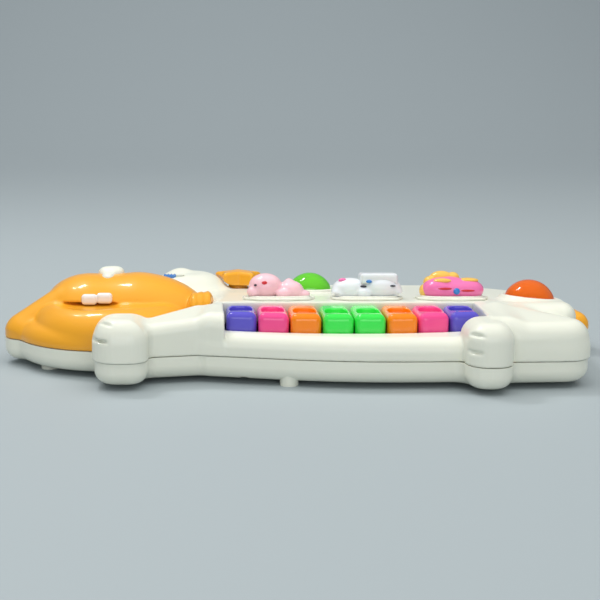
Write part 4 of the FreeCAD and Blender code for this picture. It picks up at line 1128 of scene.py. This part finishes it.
def teeth_field(x, y, z):
    """Two front teeth side by side."""
    half = (tooth_width / 2, tooth_half_depth, tooth_half_height)
    first, second = [round_box(x - cx, y - cy, z - cz, half, tooth_radius) for cx, cy, cz in tooth_places]
    return smooth_union(first, second, paint_blend)


def knob_field(x, y, z):
    """Switch knob with grip ribs."""
    low, high = node_box("switch_knob")
    cx = (low[0] + high[0]) / 2
    cy = (low[1] + high[1]) / 2
    cz = high[2] - knob_half[2]
    grip = round_box(x - cx, y - cy, z - cz, knob_half, knob_radius)
    for index in range(knob_ribs):
        rib_x = cx + (index - (knob_ribs - 1) / 2) * knob_rib_pitch
        grip = smooth_cut(grip, np.hypot(x - rib_x, z - high[2]) - knob_rib_radius, knob_rib_radius)
    return grip


def build_face():
    """Nose, teeth and switch knob in place of their CAD nodes."""
    for node, name, field, finish, body in (
            ("nose", "nose_look", nose_field, "white_abs", "case"),
            ("teeth", "teeth_look", teeth_field, "tooth_white", "case"),
            ("switch_knob", "knob_look", knob_field, "blue_abs", "switch_knob_body")):
        low, high = node_box(node)
        low[1] -= face_piece_reach
        thing = field_mesh(name, low, high, fine_step, field)
        piece(thing, body, finish, slot_of[node], node)


# Plain CAD nodes

def finish_nodes():
    """Give every CAD node the finish of its slot."""
    for name, node in frame["nodes"].items():
        finish_with(node, slot_of[name])


# Studio

def build_floor():
    """Plain pale floor that runs up into a backdrop."""
    profile = [(-floor_run, 0.0)]
    for step in range(floor_bend_steps + 1):
        angle = math.pi / 2 * step / floor_bend_steps
        back = floor_depth - floor_bend + floor_bend * math.sin(angle)
        profile.append((back, floor_bend - floor_bend * math.cos(angle)))
    profile.append((floor_depth, floor_run))
    points = []
    for y, z in profile:
        points += [(side * floor_depth / MM, y / MM, z / MM) for side in (-1, 1)]
    quads = [(2 * i, 2 * i + 1, 2 * i + 3, 2 * i + 2) for i in range(len(profile) - 1)]
    floor = quad_mesh("floor", points, quads)
    material, tree, shader = new_material("floor_paper")
    shader.inputs["Base Color"].default_value = (*floor_colour, 1)
    shader.inputs["Roughness"].default_value = floor_roughness
    floor.data.materials.append(material)


def area_light(name, place, target, size, power, colour, in_gloss=True):
    """Soft rectangular light aimed at a point, mirrored in glossy faces or not."""
    lamp = bpy.data.lights.new(name, "AREA")
    lamp.shape = "RECTANGLE"
    lamp.size, lamp.size_y = size
    lamp.energy = power
    lamp.color = colour
    holder = bpy.data.objects.new(name, lamp)
    holder.location = place
    holder.visible_glossy = in_gloss
    holder.rotation_euler = (Vector(target) - Vector(place)).to_track_quat("-Z", "Y").to_euler()
    bpy.context.scene.collection.objects.link(holder)


def build_lights():
    """Large overhead softbox, small lamps for the bar and dot highlights, and gentle fills."""
    area_light("overhead", overhead_place, light_target, overhead_size, overhead_power, warm_white,
               in_gloss=False)
    area_light("strip", strip_place, light_target, strip_size, strip_power, plain_white)
    area_light("spot", spot_place, light_target, spot_size, spot_power, plain_white)
    area_light("wash", wash_place, wash_target, wash_size, wash_power, plain_white)
    area_light("front_fill", fill_place, light_target, fill_size, fill_power, cool_white)
    world = bpy.data.worlds.new("studio")
    world.use_nodes = True
    sky = world.node_tree.nodes["Background"]
    sky.inputs["Color"].default_value = (*sky_colour, 1)
    sky.inputs["Strength"].default_value = sky_strength
    bpy.context.scene.world = world
    bpy.context.scene.view_settings.view_transform = "Standard"


def build_camera():
    """Camera at the photograph's angle, shifted as its framing needs."""
    data = bpy.data.cameras.new("camera")
    data.lens = camera_lens
    data.sensor_width = camera_sensor
    data.shift_x = camera_shift
    camera = bpy.data.objects.new("camera", data)
    camera.location = [v * MM for v in camera_place]
    camera.rotation_euler = (math.radians(upright_deg - camera_pitch_deg), 0, 0)
    bpy.context.scene.collection.objects.link(camera)
    bpy.context.scene.camera = camera


build_white_cover()
build_head()
build_keys()
build_figures()
build_domes()
build_face()
finish_nodes()
build_floor()
build_lights()
build_camera()
